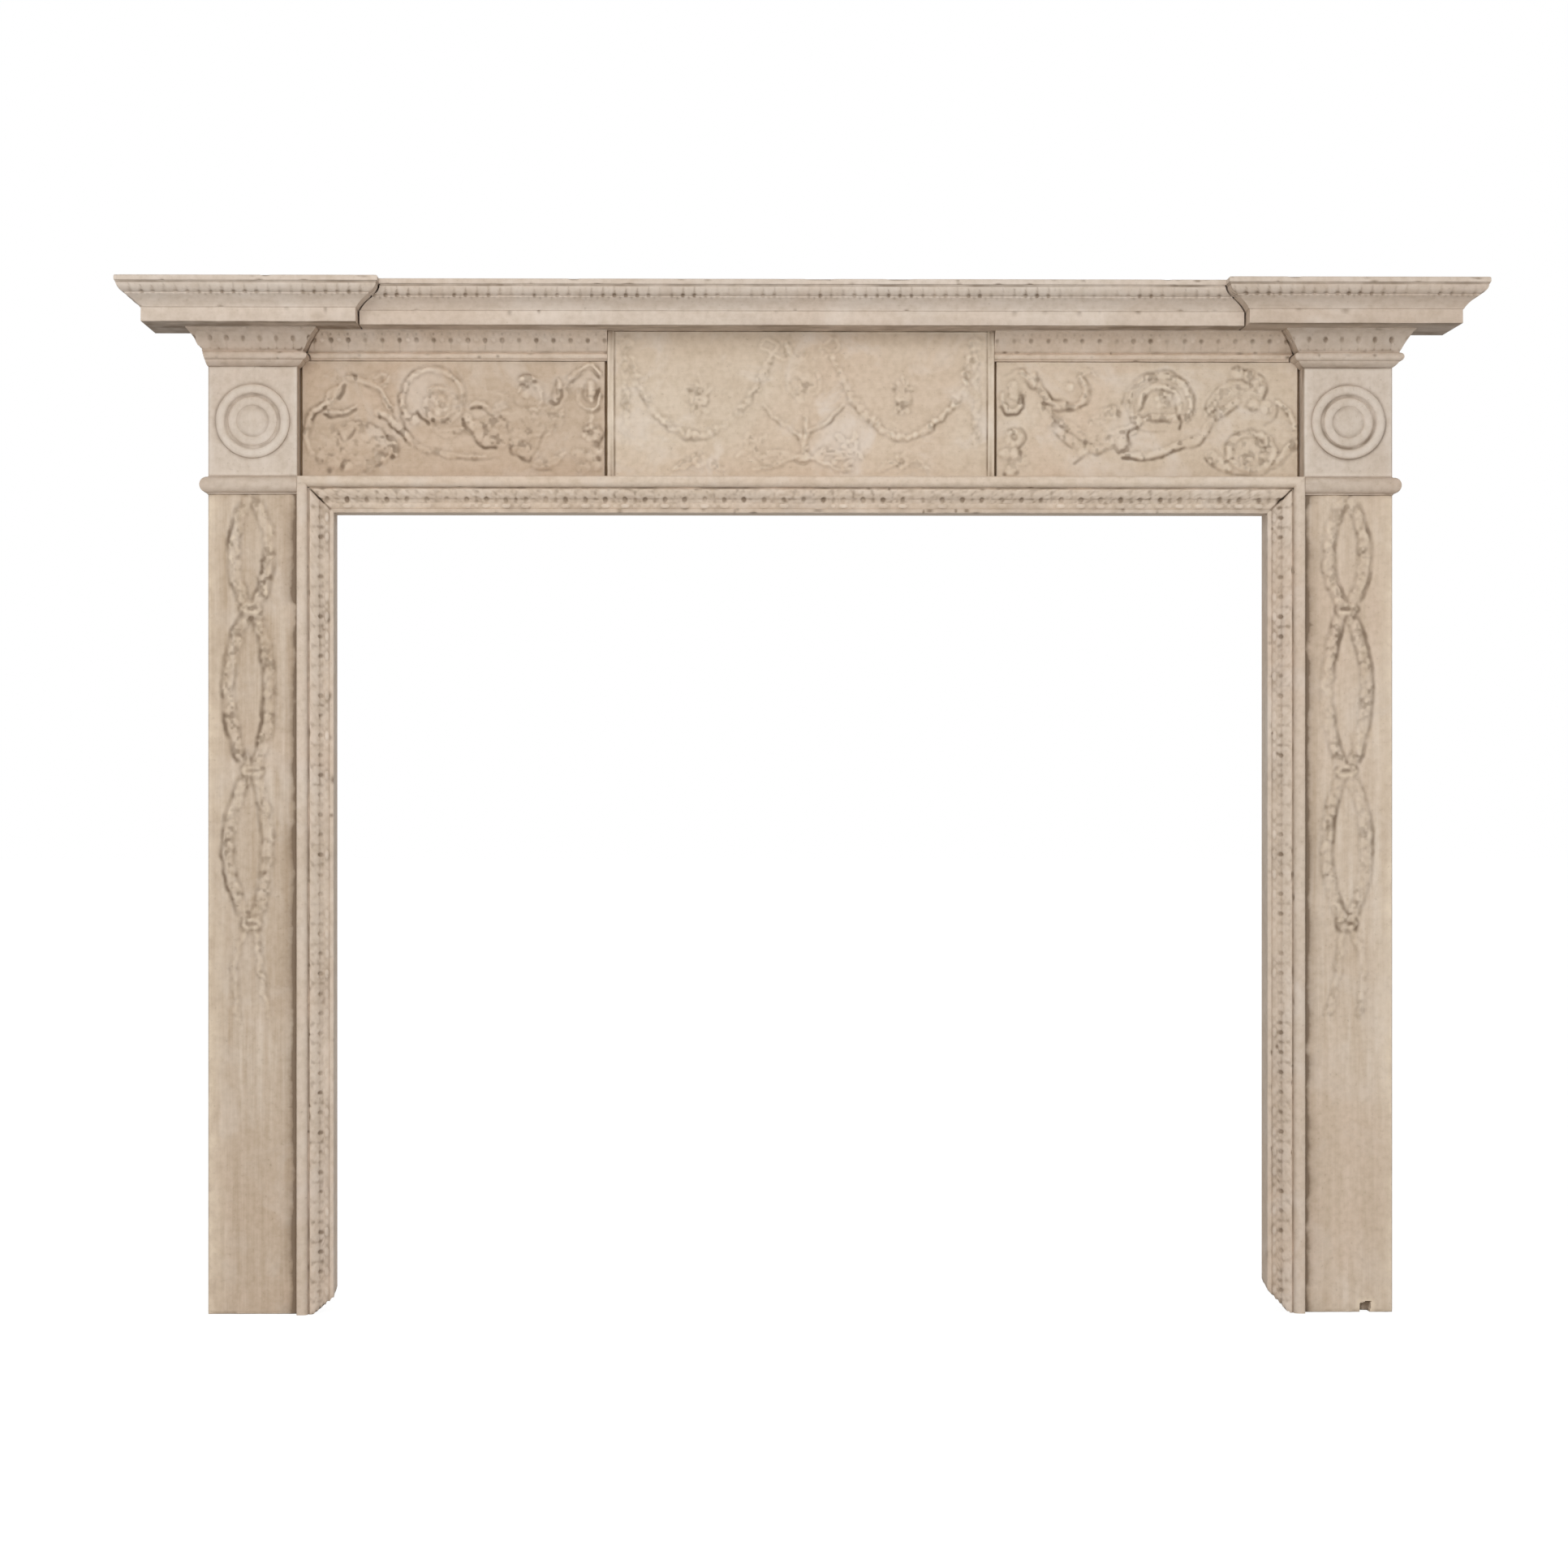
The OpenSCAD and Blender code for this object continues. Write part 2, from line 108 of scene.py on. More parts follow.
@dataclass(frozen=True)
class Layout:
    """Key lines of the mantel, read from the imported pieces.

    Half widths are measured from the centre line, depths out from the wall and levels up from
    the floor.
    """

    wall_y: float
    opening: float
    pilaster_in: float
    pilaster_out: float
    tablet: float
    panel_in: float
    panel_out: float
    corona_in: float
    corona_out: float
    shelf_in: float
    shelf_out: float
    mitre_gap: float
    pilaster_d: float
    surround_d: float
    neck_d: float
    panel_d: float
    tablet_d: float
    backing_d: float
    corona_d: float
    corona_mid_d: float
    shelf_d: float
    shelf_mid_d: float
    opening_z: float
    neck_z: float
    frieze_z: float
    capital_z: float
    bed_z: float
    cornice_z: float
    shelf_z: float
    top_z: float

    @classmethod
    def from_frame(cls) -> "Layout":
        """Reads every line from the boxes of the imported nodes.

        Returns:
            The layout in millimetres.
        """
        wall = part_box("shelf_board")[1].y

        def low(node: str) -> Vector:
            """Gives a node's least corner."""
            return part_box(node)[0] / MM

        def high(node: str) -> Vector:
            """Gives a node's greatest corner."""
            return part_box(node)[1] / MM

        def depth(node: str) -> float:
            """Gives how far a node's front stands out from the wall."""
            return wall / MM - low(node).y

        crown = CROWN_PROJECTION
        surround = high("surround_right").x - low("surround_right").x
        setback = depth("cornice_right") - depth("cornice_centre")
        return cls(
            wall_y=wall,
            opening=low("surround_right").x,
            pilaster_in=low("pilaster_right").x,
            pilaster_out=high("pilaster_right").x,
            tablet=high("centre_tablet").x,
            panel_in=low("frieze_panel_right").x,
            panel_out=high("frieze_panel_right").x,
            corona_in=low("cornice_right").x + crown,
            corona_out=high("cornice_right").x - crown,
            shelf_in=low("cornice_right").x - SHELF_LIP,
            shelf_out=high("shelf_board").x,
            mitre_gap=low("cornice_right").x + crown - high("cornice_centre").x,
            pilaster_d=depth("block_right"),
            surround_d=depth("surround_right"),
            neck_d=depth("neck_moulding_right"),
            panel_d=depth("frieze_panel_right") - PANEL_RELIEF,
            tablet_d=depth("centre_tablet") - TABLET_RELIEF,
            backing_d=depth("frieze_backing_board"),
            corona_d=depth("cornice_right") - crown,
            corona_mid_d=depth("cornice_centre") - crown,
            shelf_d=depth("shelf_board"),
            shelf_mid_d=depth("shelf_board") - setback,
            opening_z=high("surround_right").z - surround,
            neck_z=low("neck_moulding_right").z,
            frieze_z=low("frieze_backing_board").z,
            capital_z=low("capital_right").z,
            bed_z=low("bed_moulding_right").z,
            cornice_z=low("cornice_centre").z,
            shelf_z=low("shelf_board").z,
            top_z=high("shelf_board").z,
        )


# Finishes


def tone(red: int, green: int, blue: int) -> Colour:
    """Turns a display colour into the linear colour that a shader takes.

    Args:
        red: Red from 0 to 255.
        green: Green from 0 to 255.
        blue: Blue from 0 to 255.

    Returns:
        The linear colour with full alpha.
    """
    linear = []
    for value in (red, green, blue):
        part = value / 255
        linear.append(part / 12.92 if part <= 0.04045 else ((part + 0.055) / 1.055) ** 2.4)
    return (linear[0], linear[1], linear[2], 1.0)


class NodeSketch:
    """Adds and wires shader nodes in one tree."""

    def __init__(self, tree: NodeTree) -> None:
        """Starts a sketch in a tree.

        Args:
            tree: The node tree to add to.
        """
        self.tree = tree

    def add(self, kind: str, values: dict[str, object] | None = None, **settings: object) -> Node:
        """Adds one node.

        Args:
            kind: The node's type name.
            values: Input values by socket name; a socket given as a value is wired in.
            **settings: Properties set on the node itself.

        Returns:
            The new node.
        """
        node = self.tree.nodes.new(kind)
        for name, value in settings.items():
            setattr(node, name, value)
        for name, value in (values or {}).items():
            self.feed(node.inputs[name], value)
        return node

    def feed(self, socket: NodeSocket, value: object) -> None:
        """Wires a socket into another, or sets its value.

        Args:
            socket: The input socket.
            value: An output socket or a plain value.
        """
        if isinstance(value, NodeSocket):
            self.tree.links.new(value, socket)
        else:
            socket.default_value = value

    def maths(self, operation: str, first: object, second: object = 0.0, clamp: bool = False) -> NodeSocket:
        """Adds a maths node.

        Args:
            operation: The operation's name.
            first: Its first input.
            second: Its second input.
            clamp: Whether the result is kept from 0 to 1.

        Returns:
            The result's socket.
        """
        node = self.tree.nodes.new("ShaderNodeMath")
        node.operation, node.use_clamp = operation, clamp
        self.feed(node.inputs[0], first)
        self.feed(node.inputs[1], second)
        return node.outputs[0]

    def times(self, first: object, second: object, clamp: bool = False) -> NodeSocket:
        """Multiplies two values."""
        return self.maths("MULTIPLY", first, second, clamp)

    def plus(self, first: object, second: object, clamp: bool = False) -> NodeSocket:
        """Adds two values."""
        return self.maths("ADD", first, second, clamp)

    def blend(self, amount: object, below: object, above: object, mode: str = "MIX") -> NodeSocket:
        """Mixes two colours.

        Args:
            amount: How much of the upper colour shows.
            below: The lower colour.
            above: The upper colour.
            mode: The way they mix.

        Returns:
            The mixed colour's socket.
        """
        node = self.tree.nodes.new("ShaderNodeMix")
        node.data_type, node.blend_type, node.clamp_factor = "RGBA", mode, True
        self.feed(node.inputs[0], amount)
        self.feed(node.inputs[6], below)
        self.feed(node.inputs[7], above)
        return node.outputs[2]

    def spread(self, value: object, low: float, high: float) -> NodeSocket:
        """Stretches a value so that low becomes 0 and high becomes 1.

        Args:
            value: The input.
            low: The input that gives 0.
            high: The input that gives 1.

        Returns:
            The clamped result's socket.
        """
        node = self.tree.nodes.new("ShaderNodeMapRange")
        node.clamp = True
        self.feed(node.inputs[0], value)
        node.inputs[1].default_value, node.inputs[2].default_value = low, high
        return node.outputs[0]

    def noise(self, vector: object, scale: float, detail: float, roughness: float = 0.5,
              distortion: float = 0.0) -> NodeSocket:
        """Adds a noise pattern.

        Args:
            vector: Where it is read.
            scale: Its scale.
            detail: How many finer layers it has.
            roughness: How strong the finer layers are.
            distortion: How far it is warped.

        Returns:
            The pattern's value, around 0.5.
        """
        node = self.add("ShaderNodeTexNoise", {"Scale": scale, "Detail": detail, "Roughness": roughness,
                                               "Distortion": distortion})
        self.feed(node.inputs["Vector"], vector)
        return node.outputs[0]


class SharedEffects:
    """The effects that every pine finish uses, each as one node group."""

    def __init__(self) -> None:
        """Builds both groups."""
        self.grain = self.make_grain()
        self.patina = self.make_patina()

    @staticmethod
    def start(name: str, inputs: dict[str, object], outputs: dict[str, Socket]) -> tuple[NodeTree, Node, Node]:
        """Makes an empty group with its sockets.

        Args:
            name: The group's name.
            inputs: Each input's value by name: a number, a vector or a colour.
            outputs: Each output's kind by name.

        Returns:
            The group, its input node and its output node.
        """
        tree = bpy.data.node_groups.new(name, "ShaderNodeTree")
        for label, value in inputs.items():
            parts = len(value) if isinstance(value, tuple) else 1
            kind = {1: Socket.NUMBER, 3: Socket.VECTOR, 4: Socket.COLOUR}[parts]
            socket = tree.interface.new_socket(name=label, in_out="INPUT", socket_type=kind.value)
            socket.default_value = value
        for label, kind in outputs.items():
            tree.interface.new_socket(name=label, in_out="OUTPUT", socket_type=kind.value)
        return tree, tree.nodes.new("NodeGroupInput"), tree.nodes.new("NodeGroupOutput")

    def make_grain(self) -> NodeTree:
        """Builds the pine grain: growth rings drawn out along the board, broad bands, streaks and pores.

        Returns:
            The group, which gives ring, streak, band and cloud masks and a height.
        """
        tree, given, result = self.start(
            "Pine grain", {"Run": Grain.UPRIGHT.value},
            {label: Socket.NUMBER for label in ("Rings", "Streaks", "Bands", "Clouds", "Height")})
        sketch = NodeSketch(tree)
        place = sketch.add("ShaderNodeTexCoord").outputs["Object"]
        along = sketch.add("ShaderNodeVectorMath", operation="MULTIPLY")
        sketch.feed(along.inputs[0], place)
        sketch.feed(along.inputs[1], given.outputs["Run"])
        run = along.outputs[0]
        warp = sketch.noise(run, 9.0, 2.0)
        rings = sketch.times(sketch.noise(run, 26.0, 3.0, 0.6), 4.2)
        rings = sketch.plus(rings, sketch.times(warp, 9.0))
        rings = sketch.maths("FRACT", rings)
        rings = sketch.maths("POWER", sketch.maths("PINGPONG", rings, 0.5), 1.6)
        rings = sketch.spread(rings, 0.0, 0.33)
        streaks = sketch.spread(sketch.noise(run, 170.0, 4.0, 0.65), 0.32, 0.68)
        bands = sketch.spread(sketch.noise(run, 75.0, 4.0, 0.62), 0.36, 0.66)
        pores = sketch.spread(sketch.noise(run, 900.0, 2.0, 0.7), 0.3, 0.7)
        clouds = sketch.spread(sketch.noise(place, 5.5, 4.0, 0.6, 0.4), 0.3, 0.7)
        height = sketch.plus(sketch.times(rings, 0.35), sketch.times(streaks, 0.4))
        height = sketch.plus(height, sketch.times(pores, 0.25))
        for label, value in (("Rings", rings), ("Streaks", sketch.times(sketch.plus(streaks, pores), 0.5)),
                             ("Bands", bands), ("Clouds", clouds), ("Height", height)):
            sketch.feed(result.inputs[label], value)
        return tree

    def make_patina(self) -> NodeTree:
        """Builds the patina: old ground, dust and painted shade in the hollows, rubbed light edges and stains.

        Returns:
            The group, which gives the final colour and roughness.
        """
        tree, given, result = self.start(
            "Worn patina",
            {"Wood": (0.5, 0.4, 0.3, 1), "Ground": (0.2, 0.15, 0.1, 1), "Rubbed": (0.8, 0.7, 0.6, 1), "Limewash": 0.3,
             "Lime": (0.7, 0.65, 0.58, 1), "Hollow": 0.0, "Crest": 0.0, "Depth Of Ground": 0.8},
            {"Color": Socket.COLOUR, "Roughness": Socket.NUMBER})
        sketch = NodeSketch(tree)
        place = sketch.add("ShaderNodeTexCoord").outputs["Object"]
        patch = sketch.noise(place, 38.0, 5.0, 0.6)
        gaps = sketch.spread(sketch.noise(place, 24.0, 3.0, 0.55), 0.3, 0.62)
        broken = sketch.plus(sketch.times(gaps, 0.9), 0.2)
        hollow = sketch.times(given.outputs["Hollow"], broken, clamp=True)
        hollow = sketch.times(hollow, given.outputs["Depth Of Ground"])
        lime = sketch.spread(sketch.noise(place, 13.0, 5.0, 0.62, 0.8), 0.5, 0.68)
        lime = sketch.times(lime, given.outputs["Limewash"])
        mottle = sketch.spread(sketch.noise(place, 105.0, 4.0, 0.6), 0.4, 0.68)
        wood = sketch.blend(sketch.times(mottle, 0.5), given.outputs["Wood"], (0.78, 0.75, 0.69, 1),
                            "MULTIPLY")
        limed = sketch.blend(lime, wood, given.outputs["Lime"])
        crest = sketch.times(given.outputs["Crest"], sketch.spread(patch, 0.25, 0.7))
        rubbed = sketch.blend(crest, limed, given.outputs["Rubbed"])
        fleck = sketch.noise(place, 210.0, 3.0, 0.6)
        stain = sketch.times(sketch.spread(fleck, 0.66, 0.76), 0.22)
        stained = sketch.blend(stain, rubbed, given.outputs["Ground"])
        # The hollow mask darkens by the old ground in the carving and by painted shade in corners and under mouldings.
        final = sketch.blend(hollow, stained, given.outputs["Ground"])
        rough = sketch.plus(0.62, sketch.times(patch, 0.2))
        rough = sketch.plus(rough, sketch.times(hollow, 0.15), clamp=True)
        sketch.feed(result.inputs["Color"], final)
        sketch.feed(result.inputs["Roughness"], rough)
        return tree


@dataclass(frozen=True)
class PineFinish:
    """One board's finish: stripped pine, limed and waxed dull, with old ground left in the carving and painted shade in
    its corners.
    """

    name: str
    slot: str
    grain: Grain
    pale: Colour
    deep: Colour
    blush: Colour
    rubbed: Colour
    # Colour of the old ground in the carving, also used to paint shade in corners, gaps and under mouldings.
    ground: Colour = tone(118, 99, 80)
    ring_strength: float = 0.3
    band_strength: float = 0.3
    limewash: float = 0.35
    lime: Colour = tone(226, 214, 202)
    groundcoat_and_shade_depth: float = 0.8
    relief: float = 0.25

    def build(self, effects: SharedEffects) -> Material:
        """Makes the material.

        Args:
            effects: The shared node groups.

        Returns:
            The finished material.
        """
        material = bpy.data.materials.new(self.name)
        material.use_nodes = True
        tree = material.node_tree
        shader = tree.nodes["Principled BSDF"]
        sketch = NodeSketch(tree)
        grain = sketch.add("ShaderNodeGroup", node_tree=effects.grain)
        grain.inputs["Run"].default_value = self.grain.value
        place = sketch.add("ShaderNodeTexCoord").outputs["Object"]
        warm = sketch.spread(sketch.noise(place, 3.1, 3.0, 0.55, 0.6), 0.42, 0.64)
        rings, streaks, bands, clouds, height = grain.outputs
        wood = self.pale
        for mask, share, over in ((clouds, 0.6, self.deep), (warm, 0.6, self.blush),
                                  (bands, self.band_strength, self.deep), (rings, self.ring_strength, self.deep),
                                  (streaks, 0.3, self.deep)):
            wood = sketch.blend(sketch.times(mask, share), wood, over)
        # The hollow attribute carries old ground and painted shade; the crest attribute carries rubbed wear.
        hollow, crest = (sketch.add("ShaderNodeAttribute", attribute_name=label).outputs["Fac"]
                         for label in ("hollow", "crest"))
        patina = sketch.add("ShaderNodeGroup", node_tree=effects.patina)
        for label, value in (("Wood", wood), ("Ground", self.ground), ("Rubbed", self.rubbed),
                             ("Limewash", self.limewash), ("Lime", self.lime), ("Hollow", hollow), ("Crest", crest),
                             ("Depth Of Ground", self.groundcoat_and_shade_depth)):
            sketch.feed(patina.inputs[label], value)
        bump = sketch.add("ShaderNodeBump", {"Strength": self.relief, "Distance": BUMP_DISTANCE, "Height": height})
        sketch.feed(shader.inputs["Base Color"], patina.outputs["Color"])
        sketch.feed(shader.inputs["Roughness"], patina.outputs["Roughness"])
        sketch.feed(shader.inputs["Normal"], bump.outputs["Normal"])
        shader.inputs["Specular IOR Level"].default_value = 0.22
        return material


class FinishBook:
    """Holds each finish's material, made once."""

    def __init__(self) -> None:
        """Starts with the shared effects and no materials."""
        self.effects = SharedEffects()
        self.made: dict[str, Material] = {}

    def material(self, finish: PineFinish) -> Material:
        """Gives a finish's material, and makes it the first time.

        Args:
            finish: The finish.

        Returns:
            Its material.
        """
        if finish.name not in self.made:
            self.made[finish.name] = finish.build(self.effects)
        return self.made[finish.name]


CORNICE_PINE = PineFinish(
    "Pale limed cornice pine", "pine_light", Grain.ACROSS, tone(226, 213, 200), tone(202, 185, 168),
    tone(216, 196, 178), tone(234, 224, 212), ring_strength=0.12, band_strength=0.35, groundcoat_and_shade_depth=0.8)
BLOCK_PINE = PineFinish(
    "Pale limed block pine", "pine", Grain.UPRIGHT, tone(222, 209, 196), tone(202, 186, 169),
    tone(212, 192, 174), tone(230, 219, 206), ring_strength=0.14)
CAPITAL_PINE = PineFinish(
    "Limed capital pine", "pine", Grain.ACROSS, tone(218, 203, 188), tone(196, 178, 160),
    tone(210, 188, 170), tone(228, 215, 201), ring_strength=0.12)
FRIEZE_PINE = PineFinish(
    "Tan carved frieze pine", "pine_tan", Grain.ACROSS, tone(216, 199, 180), tone(190, 167, 143),
    tone(209, 183, 159), tone(232, 215, 194), ring_strength=0.16, band_strength=0.35, limewash=0.36,
    groundcoat_and_shade_depth=0.9)
TABLET_PINE = PineFinish(
    "Pale carved frieze pine", "pine_tan", Grain.ACROSS, tone(226, 211, 192), tone(203, 183, 160),
    tone(216, 191, 168), tone(234, 220, 200), ring_strength=0.14, band_strength=0.3, limewash=0.6,
    groundcoat_and_shade_depth=0.85)
BED_PINE = PineFinish(
    "Tan bed moulding pine", "pine_tan", Grain.ACROSS, tone(228, 211, 193), tone(206, 186, 166),
    tone(216, 194, 174), tone(238, 222, 206), ring_strength=0.12)
PILASTER_PINE = PineFinish(
    "Limed pilaster pine", "pine", Grain.UPRIGHT, tone(226, 211, 194), tone(190, 169, 146),
    tone(214, 188, 166), tone(232, 214, 190), ring_strength=0.3, band_strength=1.0, limewash=0.25,
    groundcoat_and_shade_depth=0.85)
RIGHT_PILASTER_PINE = replace(PILASTER_PINE, name="Paler limed pilaster pine", pale=tone(234, 220, 204),
                              deep=tone(204, 184, 162))
SURROUND_PINE = PineFinish(
    "Limed surround pine", "pine", Grain.UPRIGHT, tone(226, 210, 194), tone(203, 185, 165),
    tone(216, 193, 173), tone(234, 220, 205), ring_strength=0.1)
LINTEL_PINE = PineFinish(
    "Limed surround lintel pine", "pine", Grain.ACROSS, tone(230, 214, 197), tone(206, 187, 166),
    tone(219, 196, 175), tone(238, 223, 207), ring_strength=0.1)
BACK_PINE = PineFinish(
    "Raw backing pine", "pine_tan", Grain.ACROSS, tone(196, 172, 142), tone(160, 130, 98),
    tone(182, 150, 118), tone(206, 184, 156), ring_strength=0.5, limewash=0.0)


# Small tools for shapes


def box_blur(values: Array, reach: int) -> Array:
    """Averages an array over a square window.

    Args:
        values: The array.
        reach: How many cells the window reaches each way.

    Returns:
        The averaged array.
    """
    for axis in (0, 1):
        span = 2 * reach + 1
        pads = [(0, 0), (0, 0)]
        pads[axis] = (reach + 1, reach)
        total = np.cumsum(np.pad(values, pads, mode="edge"), axis=axis)
        ahead = [slice(None), slice(None)]
        behind = [slice(None), slice(None)]
        ahead[axis] = slice(span, None)
        behind[axis] = slice(None, -span)
        values = (total[tuple(ahead)] - total[tuple(behind)]) / span
    return values


def soften(values: Array, reach: int, passes: int = 2) -> Array:
    """Blurs an array evenly.

    Args:
        values: The array.
        reach: How many cells each pass reaches.
        passes: How many passes.

    Returns:
        The blurred array.
    """
    for _ in range(passes):
        values = box_blur(values, reach)
    return values


def patchy(rows: int, columns: int, row_cells: float, column_cells: float, seed: int) -> Array:
    """Makes a smooth random field from -1 to 1.

    Args:
        rows: Rows in the field.
        columns: Columns in the field.
        row_cells: Random values down the field.
        column_cells: Random values across the field.
        seed: The seed.

    Returns:
        The field.
    """
    down, across = max(2, int(row_cells) + 2), max(2, int(column_cells) + 2)
    values = np.random.default_rng(seed).uniform(-1, 1, (down, across))
    r = np.linspace(0, down - 1.001, rows)
    c = np.linspace(0, across - 1.001, columns)
    r0, c0 = r.astype(int), c.astype(int)
    fr, fc = r - r0, c - c0
    fr, fc = (fr * fr * (3 - 2 * fr))[:, None], (fc * fc * (3 - 2 * fc))[None, :]
    top = values[r0][:, c0] * (1 - fc) + values[r0][:, c0 + 1] * fc
    low = values[r0 + 1][:, c0] * (1 - fc) + values[r0 + 1][:, c0 + 1] * fc
    return top * (1 - fr) + low * fr


def sample(values: Array, row: Array, column: Array) -> Array:
    """Reads a grid between its points.

    Args:
        values: The grid.
        row: The rows to read at, which may lie between two.
        column: The columns to read at.

    Returns:
        The values there.
    """
    row = np.clip(row, 0, values.shape[0] - 1)
    column = np.clip(column, 0, values.shape[1] - 1)
    r0, c0 = row.astype(int), column.astype(int)
    r1, c1 = np.minimum(r0 + 1, values.shape[0] - 1), np.minimum(c0 + 1, values.shape[1] - 1)
    fr, fc = row - r0, column - c0
    low = values[r0, c0] * (1 - fc) + values[r0, c1] * fc
    return low * (1 - fr) + (values[r1, c0] * (1 - fc) + values[r1, c1] * fc) * fr


def wear_masks(surface: Array, near: int, far: int, full: float) -> tuple[Array, Array]:
    """Finds where a surface is hollow and where it stands up.

    Args:
        surface: Heights on a grid, in millimetres.
        near: Cells in the fine neighbourhood.
        far: Cells in the wide neighbourhood.
        full: The difference that counts as full.

    Returns:
        The hollow mask and the crest mask, each from 0 to 1.
    """
    fine = soften(surface, near) - surface
    wide = soften(surface, far) - surface
    lift = fine + 0.6 * wide
    return np.clip(lift / full, 0, 1) ** 0.8, np.clip(-lift / full, 0, 1)


def curve(points: Sequence[Point], spacing: float = 1.2) -> Array:
    """Draws a smooth curve through points.

    Args:
        points: The points it passes.
        spacing: The distance between its samples.

    Returns:
        The samples, one row each.
    """
    knots = np.array(points, float)
    if len(knots) == 2:
        count = max(2, int(np.linalg.norm(knots[1] - knots[0]) / spacing))
        return knots[0] + (knots[1] - knots[0]) * np.linspace(0, 1, count)[:, None]
    ends = np.vstack([2 * knots[0] - knots[1], knots, 2 * knots[-1] - knots[-2]])
    pieces = []
    for i in range(1, len(ends) - 2):
        a, b, c, d = ends[i - 1], ends[i], ends[i + 1], ends[i + 2]
        t = np.linspace(0, 1, max(3, int(np.linalg.norm(c - b) / spacing)), endpoint=False)[:, None]
        pieces.append(0.5 * (2 * b + (c - a) * t + (2 * a - 5 * b + 4 * c - d) * t ** 2
                             + (3 * b - a - 3 * c + d) * t ** 3))
    pieces.append(knots[-1:])
    return np.vstack(pieces)


def spiral(centre: Point, radii: Point, angles: Point, squash: float = 1.0) -> Array:
    """Draws a spiral.

    Args:
        centre: Its centre.
        radii: Its radius at each end.
        angles: Its angle at each end, in degrees.
        squash: Its height for a width of 1.

    Returns:
        The samples, one row each.
    """
    length = math.radians(abs(angles[1] - angles[0])) * sum(radii) / 2
    t = np.linspace(0, 1, max(8, int(length / 1.2)))
    radius = radii[0] + (radii[1] - radii[0]) * t
    angle = np.radians(angles[0] + (angles[1] - angles[0]) * t)
    return np.stack([centre[0] + radius * np.cos(angle), centre[1] + squash * radius * np.sin(angle)], axis=1)


# Carved relief


@dataclass
class ReliefField:
    """A carved face as heights on a grid, in millimetres above its ground.

    Args:
        width: Width of the face.
        tall: Height of the face.
        pitch: Distance between grid lines.
        mirrored: Whether everything carved is turned left for right.
    """

    width: float
    tall: float
    pitch: float
    mirrored: bool = False
    raised: Array = field(init=False)
    cut: Array = field(init=False)
    dust: Array = field(init=False)

    def __post_init__(self) -> None:
        """Makes the empty grids."""
        self.columns = int(round(self.width / self.pitch)) + 1
        self.rows = int(round(self.tall / self.pitch)) + 1
        self.u = np.linspace(0, self.width, self.columns)
        self.v = np.linspace(0, self.tall, self.rows)
        self.raised, self.cut, self.dust = (np.zeros((self.rows, self.columns)) for _ in range(3))

    def patches(self, size: float, seed: int) -> Array:
        """Makes a smooth random field over the face, whose patches have this size."""
        return patchy(self.rows, self.columns, self.tall / size, self.width / size, seed)

    def window(self, u: float, v: float, reach: float) -> tuple[slice, slice, Array] | None:
        """Finds the grid cells round a point.

        Args:
            u: Distance across the face.
            v: Distance up the face.
            reach: How far the cells reach.

        Returns:
            The row slice, the column slice and the squared distances, or None off the face.
        """
        if self.mirrored:
            u = self.width - u
        c0, c1 = np.searchsorted(self.u, (u - reach, u + reach))
        r0, r1 = np.searchsorted(self.v, (v - reach, v + reach))
        if c0 >= c1 or r0 >= r1:
            return None
        square = (self.u[None, c0:c1] - u) ** 2 + (self.v[r0:r1, None] - v) ** 2
        return slice(r0, r1), slice(c0, c1), square

    def dab(self, u: float, v: float, radius: float, rise: float, flat: float = 2.0) -> None:
        """Raises one rounded dab.

        Args:
            u: Distance across the face.
            v: Distance up the face.
            radius: Its radius.
            rise: Its height.
            flat: 2 is a ball, and more is a flatter top with steeper sides.
        """
        found = self.window(u, v, radius)
        if found is None or radius <= 0:
            return
        rows, columns, square = found
        share = np.clip(1 - (square / radius ** 2) ** (flat / 2), 0, 1)
        self.raised[rows, columns] = np.maximum(self.raised[rows, columns], rise * share ** 0.72)

    def gouge(self, u: float, v: float, radius: float, depth: float) -> None:
        """Cuts one rounded hollow.

        Args:
            u: Distance across the face.
            v: Distance up the face.
            radius: Its radius.
            depth: Its depth.
        """
        found = self.window(u, v, radius)
        if found is None:
            return
        rows, columns, square = found
        share = np.clip(1 - square / radius ** 2, 0, 1)
        self.cut[rows, columns] = np.maximum(self.cut[rows, columns], depth * share)

    def roll(self, path: Array, start_w: float, end_w: float, rise: float, flat: float = 2.6) -> None:
        """Raises a rounded stem along a path.

        Args:
            path: The samples of its middle line.
            start_w: Its width at the start.
            end_w: Its width at the end.
            rise: Its height.
            flat: How flat its top is.
        """
        widths = np.linspace(start_w, end_w, len(path))
        for (u, v), width in zip(path, widths):
            self.dab(u, v, width / 2, rise, flat)

    def groove(self, path: Array, width: float, depth: float) -> None:
        """Cuts a rounded groove along a path.

        Args:
            path: The samples of its middle line.
            width: Its width.
            depth: Its depth.
        """
        for u, v in path:
            self.gouge(u, v, width / 2, depth)

    def line(self, points: Sequence[Point], width: float, depth: float) -> None:
        """Cuts a groove along a smooth curve through points."""
        self.groove(curve(points), width, depth)

    def stem(self, points: Sequence[Point], start_w: float, end_w: float, rise: float) -> None:
        """Raises a stem along a smooth curve through points."""
        self.roll(curve(points), start_w, end_w, rise)

    def leaf(self, points: Sequence[Point], width: float, rise: float, vein: float = 0.8) -> None:
        """Raises a leaf, widest near its foot, with a veined middle.

        Args:
            points: Points from its foot to its tip.
            width: Its greatest width.
            rise: Its height.
            vein: The depth of its vein.
        """
        path = curve(points)
        t = np.linspace(0, 1, len(path))
        swell = np.sin(math.pi * np.clip(t, 0.02, 0.97) ** 0.75) ** 0.7
        for (u, v), share, along in zip(path, swell, t):
            self.dab(u, v, width / 2 * share, rise * (0.75 + 0.25 * along), 3.0)
        if vein:
            self.groove(path[len(path) // 8: -max(2, len(path) // 6)], max(1.8, width * 0.16), vein)

